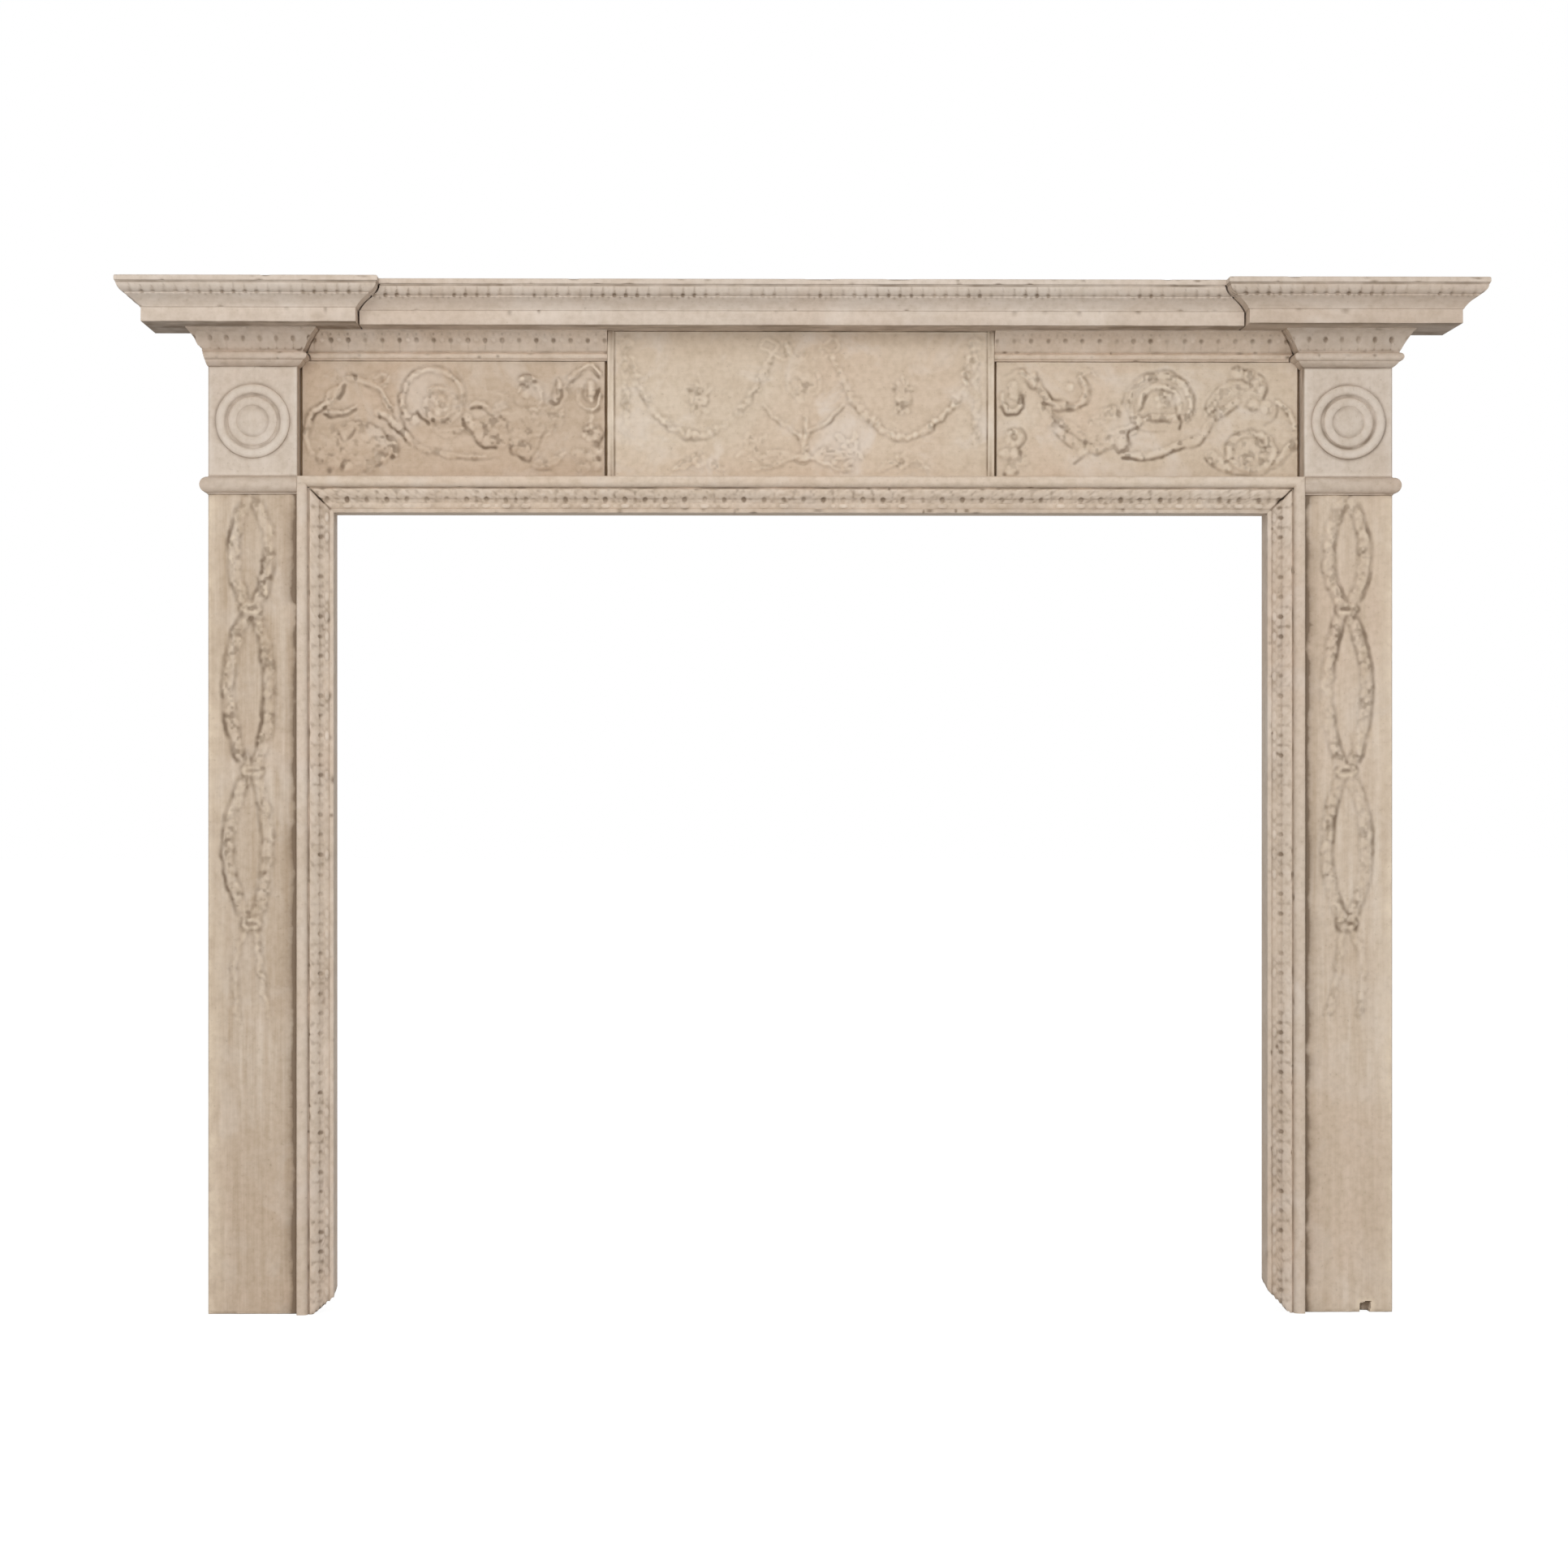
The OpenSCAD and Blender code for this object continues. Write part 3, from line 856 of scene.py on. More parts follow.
    def fan(self, at: Point, aims: Sequence[float], length: float, width: float, rise: float) -> None:
        """Raises leaves that spread from one point.

        Args:
            at: The point.
            aims: The way each leaf points, in degrees.
            length: Their length.
            width: Their width.
            rise: Their height.
        """
        for aim in aims:
            turn = math.radians(aim)
            tip = (at[0] + length * math.cos(turn), at[1] + length * math.sin(turn))
            self.leaf([at, tip], width, rise)

    def rosette(self, at: Point, radius: float, petals: int, rise: float) -> None:
        """Raises a small flower.

        Args:
            at: Its middle.
            radius: Its radius.
            petals: How many petals it has.
            rise: Its height.
        """
        for i in range(petals):
            turn = math.tau * (i + 0.3) / petals
            self.dab(at[0] + radius * 0.6 * math.cos(turn), at[1] + radius * 0.6 * math.sin(turn),
                     radius * 0.42, rise * 0.85)
        self.gouge(at[0], at[1], radius * 0.42, rise * 0.5)
        self.dab(at[0], at[1], radius * 0.26, rise)

    def husks(self, path: Array, length: float, width: float, rise: float, seed: int = 1,
              nick: float = 1.0) -> None:
        """Strings worn bell husks along a path, each a pointed leaf that overlaps the next.

        Args:
            path: The samples of the string.
            length: The length of one husk.
            width: The width of one husk.
            rise: Their height.
            seed: Seed of their unevenness.
            nick: Depth of the cuts between husks.
        """
        chance = np.random.default_rng(seed)
        steps = np.linalg.norm(np.diff(path, axis=0), axis=1)
        run = np.concatenate([[0], np.cumsum(steps)])
        self.roll(path, width * 0.5, width * 0.5, rise * 0.55, 2.0)
        at = chance.uniform(0, length * 0.4)
        turn = 1.0
        while at < run[-1] - length * 0.5:
            span = length * chance.uniform(0.9, 1.35)
            k = int(np.searchsorted(run, at))
            m = min(int(np.searchsorted(run, at + span)), len(path) - 1)
            start, end = path[k], path[m]
            ahead = (end - start) / max(np.linalg.norm(end - start), 1e-6)
            side = np.array([-ahead[1], ahead[0]]) * turn
            sway = side * (width * chance.uniform(0.16, 0.34))
            wide = width * chance.uniform(0.55, 0.8)
            self.leaf([start - sway * 0.6, (start + end) / 2 + sway * 0.6, end + sway], wide,
                      rise * chance.uniform(0.75, 1.0), vein=nick * chance.uniform(0.1, 0.45))
            cut = curve([end + side * width * 0.5, end - side * width * 0.12 - ahead * width * 0.35], 0.8)
            self.groove(cut, 2.6, nick * chance.uniform(0.6, 1.5))
            at += span * chance.uniform(0.55, 0.8)
            turn = -turn

    def age(self, stray: float, gone: float, seed: int) -> None:
        """Makes the carving uneven: lines stray a little, come and go, and every swell turns lumpy.

        Args:
            stray: How far the lines stray.
            gone: The share of their depth that comes and goes.
            seed: Seed of the unevenness.
        """
        def rough(size: float, more: int) -> Array:
            """Makes one field of patches with its own seed."""
            return self.patches(size, seed + more)

        row, column = np.meshgrid(np.arange(self.rows), np.arange(self.columns), indexing="ij")
        row = row + stray / self.pitch * (rough(15, 0) + 0.9 * rough(7, 1))
        column = column + stray / self.pitch * (rough(15, 2) + 0.9 * rough(7, 3))
        lumps = rough(7, 4) + 0.6 * rough(4, 5)
        stays = np.clip(1 - gone * (0.45 + 1.3 * rough(19, 6) + 0.6 * lumps), 0.08, 1.15)
        raised = sample(self.raised, row, column)
        carved = np.clip(soften(raised, 3) / 1.2, 0, 1)
        self.raised = raised * (0.35 + 0.65 * stays) + 0.6 * lumps * carved
        self.cut = soften(sample(self.cut, row, column) * stays, 1)
        self.dust = carved * np.clip(0.9 * rough(8, 7) + 0.7 * rough(4, 8) - 0.15, 0, 0.6)

    def surface(self, wear: float) -> Array:
        """Joins what is raised and cut, and rubs it soft.

        Args:
            wear: How far the carving is rubbed, in millimetres.

        Returns:
            The heights.
        """
        joined = self.raised - self.cut
        reach = max(0, int(round(wear / self.pitch)))
        return soften(joined, reach) if reach else joined


# Meshes


class MeshDraft:
    """Gathers the vertices and faces of one piece."""

    def __init__(self, layout: Layout) -> None:
        """Starts an empty draft.

        Args:
            layout: The layout whose wall plane the depths start from.
        """
        self.layout = layout
        self.places: list[Array] = []
        self.hollows: list[Array] = []
        self.crests: list[Array] = []
        self.faces: list[Array] = []
        self.polygons: list[list[int]] = []
        self.count = 0

    def add_points(self, x: Array, forward: Array, up: Array,
                   hollow: Array | float = 0.0, crest: Array | float = 0.0) -> Array:
        """Adds vertices.

        Args:
            x: Distances from the centre.
            forward: Distances out from the wall.
            up: Heights above the floor.
            hollow: The mask of old ground and painted shade at each.
            crest: The crest mask at each.

        Returns:
            The new vertices' numbers, in the shape that was given.
        """
        x, forward, up = np.broadcast_arrays(x, forward, up)
        shape = x.shape
        self.places.append(np.stack([x.ravel(), forward.ravel(), up.ravel()], axis=1))
        self.hollows.append(np.broadcast_to(hollow, shape).ravel())
        self.crests.append(np.broadcast_to(crest, shape).ravel())
        first = self.count
        self.count += x.size
        return np.arange(first, self.count).reshape(shape)

    def add_grid(self, numbers: Array, flip: bool = False) -> None:
        """Joins a grid of vertices with four-sided faces.

        Args:
            numbers: The vertices' numbers in rows and columns.
            flip: Whether the faces look the other way.
        """
        quads = np.stack([numbers[:-1, :-1], numbers[:-1, 1:], numbers[1:, 1:], numbers[1:, :-1]], axis=-1)
        quads = quads.reshape(-1, 4)
        self.faces.append(quads[:, ::-1] if flip else quads)

    def add_polygon(self, numbers: Sequence[int], flip: bool = False) -> None:
        """Adds one face of many sides.

        Args:
            numbers: Its vertices' numbers in order.
            flip: Whether it looks the other way.
        """
        ring = [int(n) for n in numbers]
        self.polygons.append(ring[::-1] if flip else ring)

    def build(self, name: str, sharp: float = 38.0) -> Object:
        """Makes the mesh object.

        Args:
            name: The object's name.
            sharp: The angle above which an edge stays sharp, in degrees.

        Returns:
            The object, linked to the scene.
        """
        places = np.vstack(self.places) * MM
        places[:, 1] = self.layout.wall_y - places[:, 1]
        quads = np.vstack(self.faces)
        loops = np.concatenate([quads.ravel()] + [np.array(p) for p in self.polygons]).astype(np.int32)
        sizes = np.concatenate([np.full(len(quads), 4), [len(p) for p in self.polygons]]).astype(np.int32)
        starts = np.concatenate([[0], np.cumsum(sizes)[:-1]]).astype(np.int32)
        mesh = bpy.data.meshes.new(name)
        mesh.vertices.add(len(places))
        mesh.vertices.foreach_set("co", places.astype(np.float32).ravel())
        mesh.loops.add(len(loops))
        mesh.loops.foreach_set("vertex_index", loops)
        mesh.polygons.add(len(sizes))
        mesh.polygons.foreach_set("loop_start", starts)
        mesh.update(calc_edges=True)
        # The hollow attribute holds old ground and painted shade, the crest attribute rubbed wear.
        for label, parts in (("hollow", self.hollows), ("crest", self.crests)):
            attribute = mesh.attributes.new(label, "FLOAT", "POINT")
            attribute.data.foreach_set("value", np.concatenate(parts).astype(np.float32))
        mesh.validate()
        solid = bmesh.new()
        solid.from_mesh(mesh)
        bmesh.ops.recalc_face_normals(solid, faces=solid.faces)
        solid.to_mesh(mesh)
        solid.free()
        mesh.polygons.foreach_set("use_smooth", np.ones(len(mesh.polygons), bool))
        mesh.set_sharp_from_angle(angle=math.radians(sharp))
        made = bpy.data.objects.new(name, mesh)
        bpy.context.scene.collection.objects.link(made)
        return made


def thin_out(made: Object, keep: float) -> None:
    """Thins a mesh where it is flat.

    Args:
        made: The object.
        keep: The share of its triangles that stays.
    """
    modifier = made.modifiers.new("Thin out", "DECIMATE")
    modifier.ratio = keep
    graph = bpy.context.evaluated_depsgraph_get()
    thinned = bpy.data.meshes.new_from_object(made.evaluated_get(graph))
    made.modifiers.clear()
    spare, made.data = made.data, thinned
    name = spare.name
    bpy.data.meshes.remove(spare)
    thinned.name = name


# Mouldings


@dataclass
class Profile:
    """A moulding's profile from its foot to its top, as distances out and up, with the painted shade and grime at each
    point.
    """

    out: list[float] = field(default_factory=list)
    up: list[float] = field(default_factory=list)
    shade_and_dirt: list[float] = field(default_factory=list)

    def start(self, out: float, up: float, shade_and_dirt: float = 0.0) -> "Profile":
        """Puts down the first point."""
        self.out.append(out)
        self.up.append(up)
        self.shade_and_dirt.append(shade_and_dirt)
        return self

    def line(self, out: float, up: float, steps: int = 1, shade_and_dirt: float = 0.0) -> "Profile":
        """Draws a straight stretch.

        Args:
            out: How far out it ends.
            up: How high it ends.
            steps: How many steps it has.
            shade_and_dirt: How dark its end is painted, for shade and grime.

        Returns:
            The profile.
        """
        first_out, first_up, first_shade_and_dirt = self.out[-1], self.up[-1], self.shade_and_dirt[-1]
        for i in range(1, steps + 1):
            t = i / steps
            self.start(first_out + (out - first_out) * t, first_up + (up - first_up) * t,
                       first_shade_and_dirt + (shade_and_dirt - first_shade_and_dirt) * t)
        return self

    def quarter(self, out: float, up: float, steps: int, hollow: bool, shade_and_dirt: float = 0.0,
                round_share: float = 1.0) -> "Profile":
        """Draws a quarter round, or a shallower curve.

        Args:
            out: How far out it ends.
            up: How high it ends.
            steps: How many steps it has.
            hollow: Whether it is a cove and not a round.
            shade_and_dirt: How dark its end is painted, for shade and grime.
            round_share: 1 for a full quarter round and 0 for a straight slope.

        Returns:
            The profile.
        """
        first_out, first_up, first_shade_and_dirt = self.out[-1], self.up[-1], self.shade_and_dirt[-1]
        for i in range(1, steps + 1):
            turn = math.pi / 2 * i / steps
            a, b = (1 - math.cos(turn), math.sin(turn)) if hollow else (math.sin(turn), 1 - math.cos(turn))
            a, b = (c * round_share + i / steps * (1 - round_share) for c in (a, b))
            self.start(first_out + (out - first_out) * a, first_up + (up - first_up) * b,
                       first_shade_and_dirt + (shade_and_dirt - first_shade_and_dirt) * i / steps)
        return self

    def bead(self, out: float, up: float, proud: float, steps: int) -> "Profile":
        """Draws a half round that stands out sideways.

        Args:
            out: How far out it ends.
            up: How high it ends.
            proud: How far it stands out.
            steps: How many steps it has.

        Returns:
            The profile.
        """
        first_out, first_up = self.out[-1], self.up[-1]
        for i in range(1, steps + 1):
            turn = math.pi * i / steps
            t = (1 - math.cos(turn)) / 2
            self.start(first_out + (out - first_out) * t + proud * math.sin(turn),
                       first_up + (up - first_up) * t)
        return self

    def arrays(self) -> tuple[Array, Array, Array]:
        """Gives the points as one-row arrays of out, up and painted shade with grime."""
        return tuple(np.array(values, float)[None, :] for values in (self.out, self.up, self.shade_and_dirt))

    def normals(self) -> tuple[Array, Array]:
        """Gives each point's way out from the moulding's surface."""
        out, up = np.array(self.out), np.array(self.up)
        along_out, along_up = np.gradient(out), np.gradient(up)
        length = np.maximum(np.hypot(along_out, along_up), 1e-6)
        return (along_up / length)[None, :], (-along_out / length)[None, :]


def mitre(x_share: float, forward_share: float) -> Shift:
    """Makes a corner at which a profile grows by these shares of its projection.

    Args:
        x_share: Growth along X.
        forward_share: Growth away from the wall.

    Returns:
        The rule that gives the growth of each profile point.
    """
    return lambda out, up: (x_share * out, forward_share * out)


@dataclass(frozen=True)
class Knot:
    """An end or corner of a moulding's path, seen from above."""

    x: float
    forward: float
    shift: Shift


@dataclass(frozen=True)
class Carving:
    """Repeating cuts along a moulding; each gives a rise in millimetres along the surface's normal."""

    pitch: float
    phase: float = 0.0

    def offset(self, run: Array) -> Array:
        """Gives the distance to the nearest repeat along the run."""
        return (run - self.phase + self.pitch / 2) % self.pitch - self.pitch / 2

    def drills(self, run: Array, across: Array, at: float, radius: float, depth: float,
               stretch: float = 1.0) -> Array:
        """Sinks a row of drilled dots.

        Args:
            run: Distance along it.
            across: Distance across it.
            at: Where across it the row lies.
            radius: Each dot's radius.
            depth: Each dot's depth.
            stretch: Each dot's length across for a width of 1.

        Returns:
            The rise, below zero in the dots.
        """
        square = (self.offset(run) ** 2 + ((across - at) / stretch) ** 2) / radius ** 2
        return -depth * np.exp(-square ** 1.5)

    def beads(self, run: Array, across: Array, at: float, half_w: float, half_l: float,
              rise: float) -> Array:
        """Raises a row of beads.

        Args:
            run: Distance along it.
            across: Distance across it.
            at: Where across it the row lies.
            half_w: Half a bead's width.
            half_l: Half a bead's length.
            rise: Its height.

        Returns:
            The rise.
        """
        square = (self.offset(run) / half_l) ** 2 + ((across - at) / half_w) ** 2
        return rise * np.sqrt(np.clip(1 - square, 0, 1))

    def leaves(self, run: Array, across: Array, foot: float, tip: float, rise: float,
               vein: float = 0.35) -> Array:
        """Raises a row of leaves side by side, cut apart at their edges and veined down the middle.

        Args:
            run: Distance along it.
            across: Distance across it.
            foot: Where the leaves start.
            tip: Where they end.
            rise: Their height.
            vein: The share of the height that the vein takes away.

        Returns:
            The rise.
        """
        t = np.clip((across - foot) / (tip - foot), 0, 1)
        inside = ((across - min(foot, tip)) * (max(foot, tip) - across) > 0).astype(float)
        half = self.pitch / 2 * (0.98 - 0.5 * t ** 2.2)
        side = np.abs(self.offset(run)) / half
        body = np.clip(1 - side ** 4, 0, 1) ** 0.5
        middle = np.exp(-(side / 0.16) ** 2) * vein
        return rise * inside * np.sin(math.pi * np.clip(t * 0.8 + 0.14, 0, 1)) ** 0.6 * (body - middle)


def wander(run: Array, across: Array, amount: float, seed: int) -> Array:
    """Gives a hand-worked surface its slight unevenness.

    Args:
        run: Distance along it, one row a sample.
        across: Distance across it.
        amount: The greatest rise or fall.
        seed: The seed.

    Returns:
        The rise.
    """
    rows, columns = np.broadcast(run, across).shape
    long = patchy(rows, columns, rows / 40, 3, seed)
    short = patchy(rows, columns, rows / 7, columns / 4, seed + 1)
    return amount * (0.6 * long + 0.4 * short)


def nicks(run: Array, sharpness: Array, every: float, depth: float, seed: int) -> Array:
    """Knocks small dents into the sharp edges of a moulding.

    Args:
        run: Distance along it, one row a sample.
        sharpness: How far each profile point is an edge, from 0 to 1.
        every: The mean distance between dents.
        depth: The greatest depth.
        seed: The seed.

    Returns:
        The rise, below zero in the dents.
    """
    chance = np.random.default_rng(seed)
    low, high = float(run.min()), float(run.max())
    rise = np.zeros(np.broadcast(run, sharpness).shape)
    columns = np.arange(sharpness.shape[1])[None, :]
    edges = np.flatnonzero(sharpness[0] > 0.4)
    if not len(edges):
        return rise
    for _ in range(int((high - low) / every)):
        at, size = chance.uniform(low, high), chance.uniform(1.2, 5.0)
        column, deep = chance.choice(edges), chance.uniform(0.3, 1.0) * depth
        dent = np.exp(-((run - at) / size) ** 2 - ((columns - column) / 1.6) ** 2)
        rise -= deep * dent
    return rise


@dataclass
class Sweep:
    """A carved moulding run along a path in plan, with mitred or coped ends.

    Args:
        profile: The profile, as distances out from the path and heights above the floor.
        knots: The path's ends and corners, from left to right.
        closing: Plan points that close the solid behind the path, from its end back to its start.
        step: Distance between samples along the path.
        carve: The rise at each run, out and up.
        seed: Seed of its wear.
        wear: Greatest unevenness.
        nick_every: Mean distance between dents in its edges.
        broken: Moves x where a corner is broken off, from x, forward and up.
        to_wall: Whether both ends run straight back to the wall in the profile's own shape.
    """

    profile: Profile
    knots: list[Knot]
    closing: list[Point]
    step: float = 1.4
    carve: Carve | None = None
    seed: int = 1
    wear: float = 0.18
    nick_every: float = 60.0
    broken: Callable[[Array, Array, Array], Array] | None = None
    to_wall: bool = False

    def stretch(self, first: Knot, last: Knot, closed: bool) -> tuple[Array, ...]:
        """Samples the path between two knots.

        Args:
            first: The knot it starts at.
            last: The knot it ends at.
            closed: Whether the last sample is included.

        Returns:
            Arrays of x, forward, run, height, hollow and crest.
        """
        out, up, shade_and_dirt = self.profile.arrays()
        along_x = abs(last.x - first.x) > abs(last.forward - first.forward)
        length = abs(last.x - first.x) if along_x else abs(last.forward - first.forward)
        samples = max(2, int(length / self.step)) + (1 if closed else 0)
        t = np.linspace(0, 1, samples, endpoint=closed)[:, None]

        def place(at_out: Array, at_up: Array) -> tuple[Array, Array]:
            """Gives x and forward for every sample of the profile's points."""
            ax, af = first.shift(at_out, at_up)
            bx, bf = last.shift(at_out, at_up)
            x = (first.x + ax) * (1 - t) + (last.x + bx) * t
            forward = (first.forward + af) * (1 - t) + (last.forward + bf) * t
            return x, forward

        x, forward = place(out, up)
        run = x if along_x else forward
        bend = np.abs(np.gradient(np.arctan2(*[g[0] for g in self.profile.normals()])))[None, :]
        sharp = np.clip(bend / 0.6, 0, 1)
        rise = wander(run, up, self.wear, self.seed)
        rise = rise + nicks(run, sharp, self.nick_every, 1.1, self.seed + 5)
        if self.carve:
            rise = rise + self.carve(run, out, up)
        normal_out, normal_up = self.profile.normals()
        rise[:, 0] = rise[:, -1] = 0
        hollow, crest = wear_masks(rise, 2, 5, FULL_HOLLOW)
        # The profile's painted shade, in corners and under the fascia, joins the hollow mask.
        hollow = np.clip(hollow + shade_and_dirt * (0.8 + 0.35 * patchy(*rise.shape, rise.shape[0] / 20, 2, self.seed + 9)), 0, 1)
        x, forward = place(out + rise * normal_out, up + rise * normal_up)
        return x, forward, up + rise * normal_up, hollow, crest

    def draw(self, draft: MeshDraft) -> None:
        """Adds the moulding to a draft.

        Args:
            draft: The draft.
        """
        parts = [self.stretch(first, last, last is self.knots[-1]) for first, last in zip(self.knots, self.knots[1:])]
        x, forward, up, hollow, crest = (np.vstack([p[k] for p in parts]) for k in range(5))
        if self.broken:
            x = self.broken(x, forward, up)
        if self.to_wall:
            x, forward, up, hollow, crest = (np.vstack([a[:1], a, a[-1:]]) for a in (x, forward, up, hollow, crest))
            forward[[0, -1]] = 0
        numbers = draft.add_points(x, forward, up, hollow, crest)
        draft.add_grid(numbers, flip=True)
        foot, top = self.profile.up[0], self.profile.up[-1]
        # The end faces take the foot's painted shade.
        shade_and_dirt = np.array([self.profile.shade_and_dirt[0], 0.2])
        chain = [draft.add_points(px, pf, np.array([foot, top]), shade_and_dirt) for px, pf in self.closing]
        draft.add_polygon(list(numbers[:, 0]) + [c[0] for c in chain], flip=True)
        draft.add_polygon(list(numbers[:, -1]) + [c[1] for c in chain])
        if not chain:
            draft.add_polygon(list(numbers[0]) + list(numbers[-1][::-1]))
            return
        draft.add_polygon(list(numbers[-1][::-1]) + [chain[0][0], chain[0][1]])
        draft.add_polygon(list(numbers[0]) + [chain[-1][1], chain[-1][0]])
        for a, b in zip(chain, chain[1:]):
            draft.add_polygon([a[0], b[0], b[1], a[1]])


# Pieces


@dataclass
class Piece(ABC):
    """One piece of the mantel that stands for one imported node."""

    layout: Layout
    node: str
    finish: PineFinish

    @abstractmethod
    def shape(self) -> Object:
        """Makes the piece's mesh object."""

    def install(self, book: FinishBook) -> None:
        """Makes, dresses and mounts the piece.

        Args:
            book: The finishes.
        """
        made = self.shape()
        made.data.materials.append(book.material(self.finish))
        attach(made, BODY)
        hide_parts(self.node)
        triangles = sum(len(p.vertices) - 2 for p in made.data.polygons)
        LOG.info("%s: %d triangles", made.name, triangles)


@dataclass
class CarvedBoard(Piece):
    """A board whose face is a carved field, with eased edges and plain sides and back.

    Args:
        x0: Its left edge.
        z0: Its foot.
        back: Its back's distance from the wall.
        ground: Its ground's distance from the wall.
        wear: How far the carving is rubbed.
        keep: The share of triangles that stays after thinning.
        ease: The radius of its edges.
        mask_full: The difference that counts as fully hollow.
        seed: Seed of its unevenness.
        stray: How far the carved lines stray.
        gone: The share of the carving that comes and goes.
        cutting: How deep the grooves are for a depth of 1.
        body_rub: How far what is raised is rubbed paler.
    """

    x0: float
    z0: float
    back: float
    ground: float
    wear: float = 0.8
    keep: float = 0.55
    ease: float = 1.2
    mask_full: float = 1.3
    seed: int = 3
    stray: float = 1.5
    gone: float = 0.45
    cutting: float = 1.0
    body_rub: float = 0.45

    @abstractmethod
    def carve(self) -> ReliefField:
        """Carves the board's face."""

    def edge_shade_and_dirt(self, face: ReliefField) -> Array:
        """Gives the painted shade and grime along the board's edges, over its whole face."""
        return np.zeros((face.rows, face.columns))

    def edge_rub(self, face: ReliefField) -> Array:
        """Gives how far the board's edges are rubbed pale, over its whole face."""
        return np.zeros((face.rows, face.columns))

    def trim(self, face: ReliefField, heights: Array) -> Array:
        """Changes the finished heights, such as for a broken corner."""
        return heights

    def shape(self) -> Object:
        """Makes the board's mesh object."""
        face = self.carve()
        face.cut *= self.cutting
        face.age(self.stray, self.gone, self.seed + 30)
        rubbed = 0.8 + 0.28 * face.patches(60, self.seed + 8)
        heights = face.surface(self.wear) * np.clip(rubbed, 0.4, 1.0)
        heights = heights + 0.16 * face.patches(28, self.seed) + 0.07 * face.patches(5, self.seed + 1)
        from_side = np.minimum(face.u, face.width - face.u)[None, :]
        from_end = np.minimum(face.v, face.tall - face.v)[:, None]
        inset = np.clip(np.minimum(from_side, from_end) / self.ease, 0, 1)
        heights = np.minimum(heights, self.max_rise()) - self.ease * (1 - np.sqrt(1 - (1 - inset) ** 2))
        heights = self.trim(face, heights)
        near = max(1, int(round(1.2 / face.pitch)))
        hollow, crest = wear_masks(heights, near, near * 3, self.mask_full)
        cuts = np.clip(soften(face.cut, near, 1) / self.mask_full, 0, 1)
        # Old ground in hollows and grooves, dust, and painted shade along the edges darken the face.
        hollow = np.clip(0.75 * hollow + 0.7 * cuts + face.dust, 0, 1) + self.edge_shade_and_dirt(face)
        flecks = np.clip(0.35 + 1.7 * face.patches(6, self.seed + 9), 0, 1)
        body = np.clip(face.raised / self.max_rise(), 0, 1) ** 2
        crest = np.clip(1.3 * crest + self.body_rub * body * flecks + self.edge_rub(face), 0, 1)
        draft = MeshDraft(self.layout)
        x, z = np.meshgrid(self.x0 + face.u, self.z0 + face.v)
        numbers = draft.add_points(x, self.ground + heights, z, hollow, crest)
        draft.add_grid(numbers)
        x1, z1 = self.x0 + face.width, self.z0 + face.tall
        corners = draft.add_points(np.array([self.x0, x1, x1, self.x0]), np.full(4, self.back),
                                   np.array([self.z0, self.z0, z1, z1]))
        draft.add_polygon(list(numbers[0][::-1]) + [corners[0], corners[1]])
        draft.add_polygon(list(numbers[-1]) + [corners[2], corners[3]])
        draft.add_polygon(list(numbers[:, 0]) + [corners[3], corners[0]])
        draft.add_polygon(list(numbers[::-1, -1]) + [corners[1], corners[2]])
        draft.add_polygon(corners[::-1])
        made = draft.build(self.node + ".wood")
        if self.keep < 1:
            thin_out(made, self.keep)
            self.repaint(made, face, hollow, crest)
        return made

    def max_rise(self) -> float:
        """Gives the greatest height that the carving may reach."""
        return PANEL_RELIEF

    def repaint(self, made: Object, face: ReliefField, hollow: Array, crest: Array) -> None:
        """Reads the masks again at the vertices that thinning left.

        Args:
            made: The thinned object.
            face: The carved field.
            hollow: The hollow mask on the field's grid.
            crest: The crest mask on the field's grid.
        """
        mesh = made.data
        places = np.empty(len(mesh.vertices) * 3, np.float32)
        mesh.vertices.foreach_get("co", places)
        places = places.reshape(-1, 3) / MM
        column = (places[:, 0] - self.x0) / face.width * (face.columns - 1)
        row = (places[:, 2] - self.z0) / face.tall * (face.rows - 1)
        front = places[:, 1] < self.layout.wall_y / MM - self.back - 1
        for label, mask in (("hollow", hollow), ("crest", crest)):
            values = sample(mask, row, column) * front
            attribute = mesh.attributes.get(label) or mesh.attributes.new(label, "FLOAT", "POINT")
            attribute.data.foreach_set("value", values.astype(np.float32))


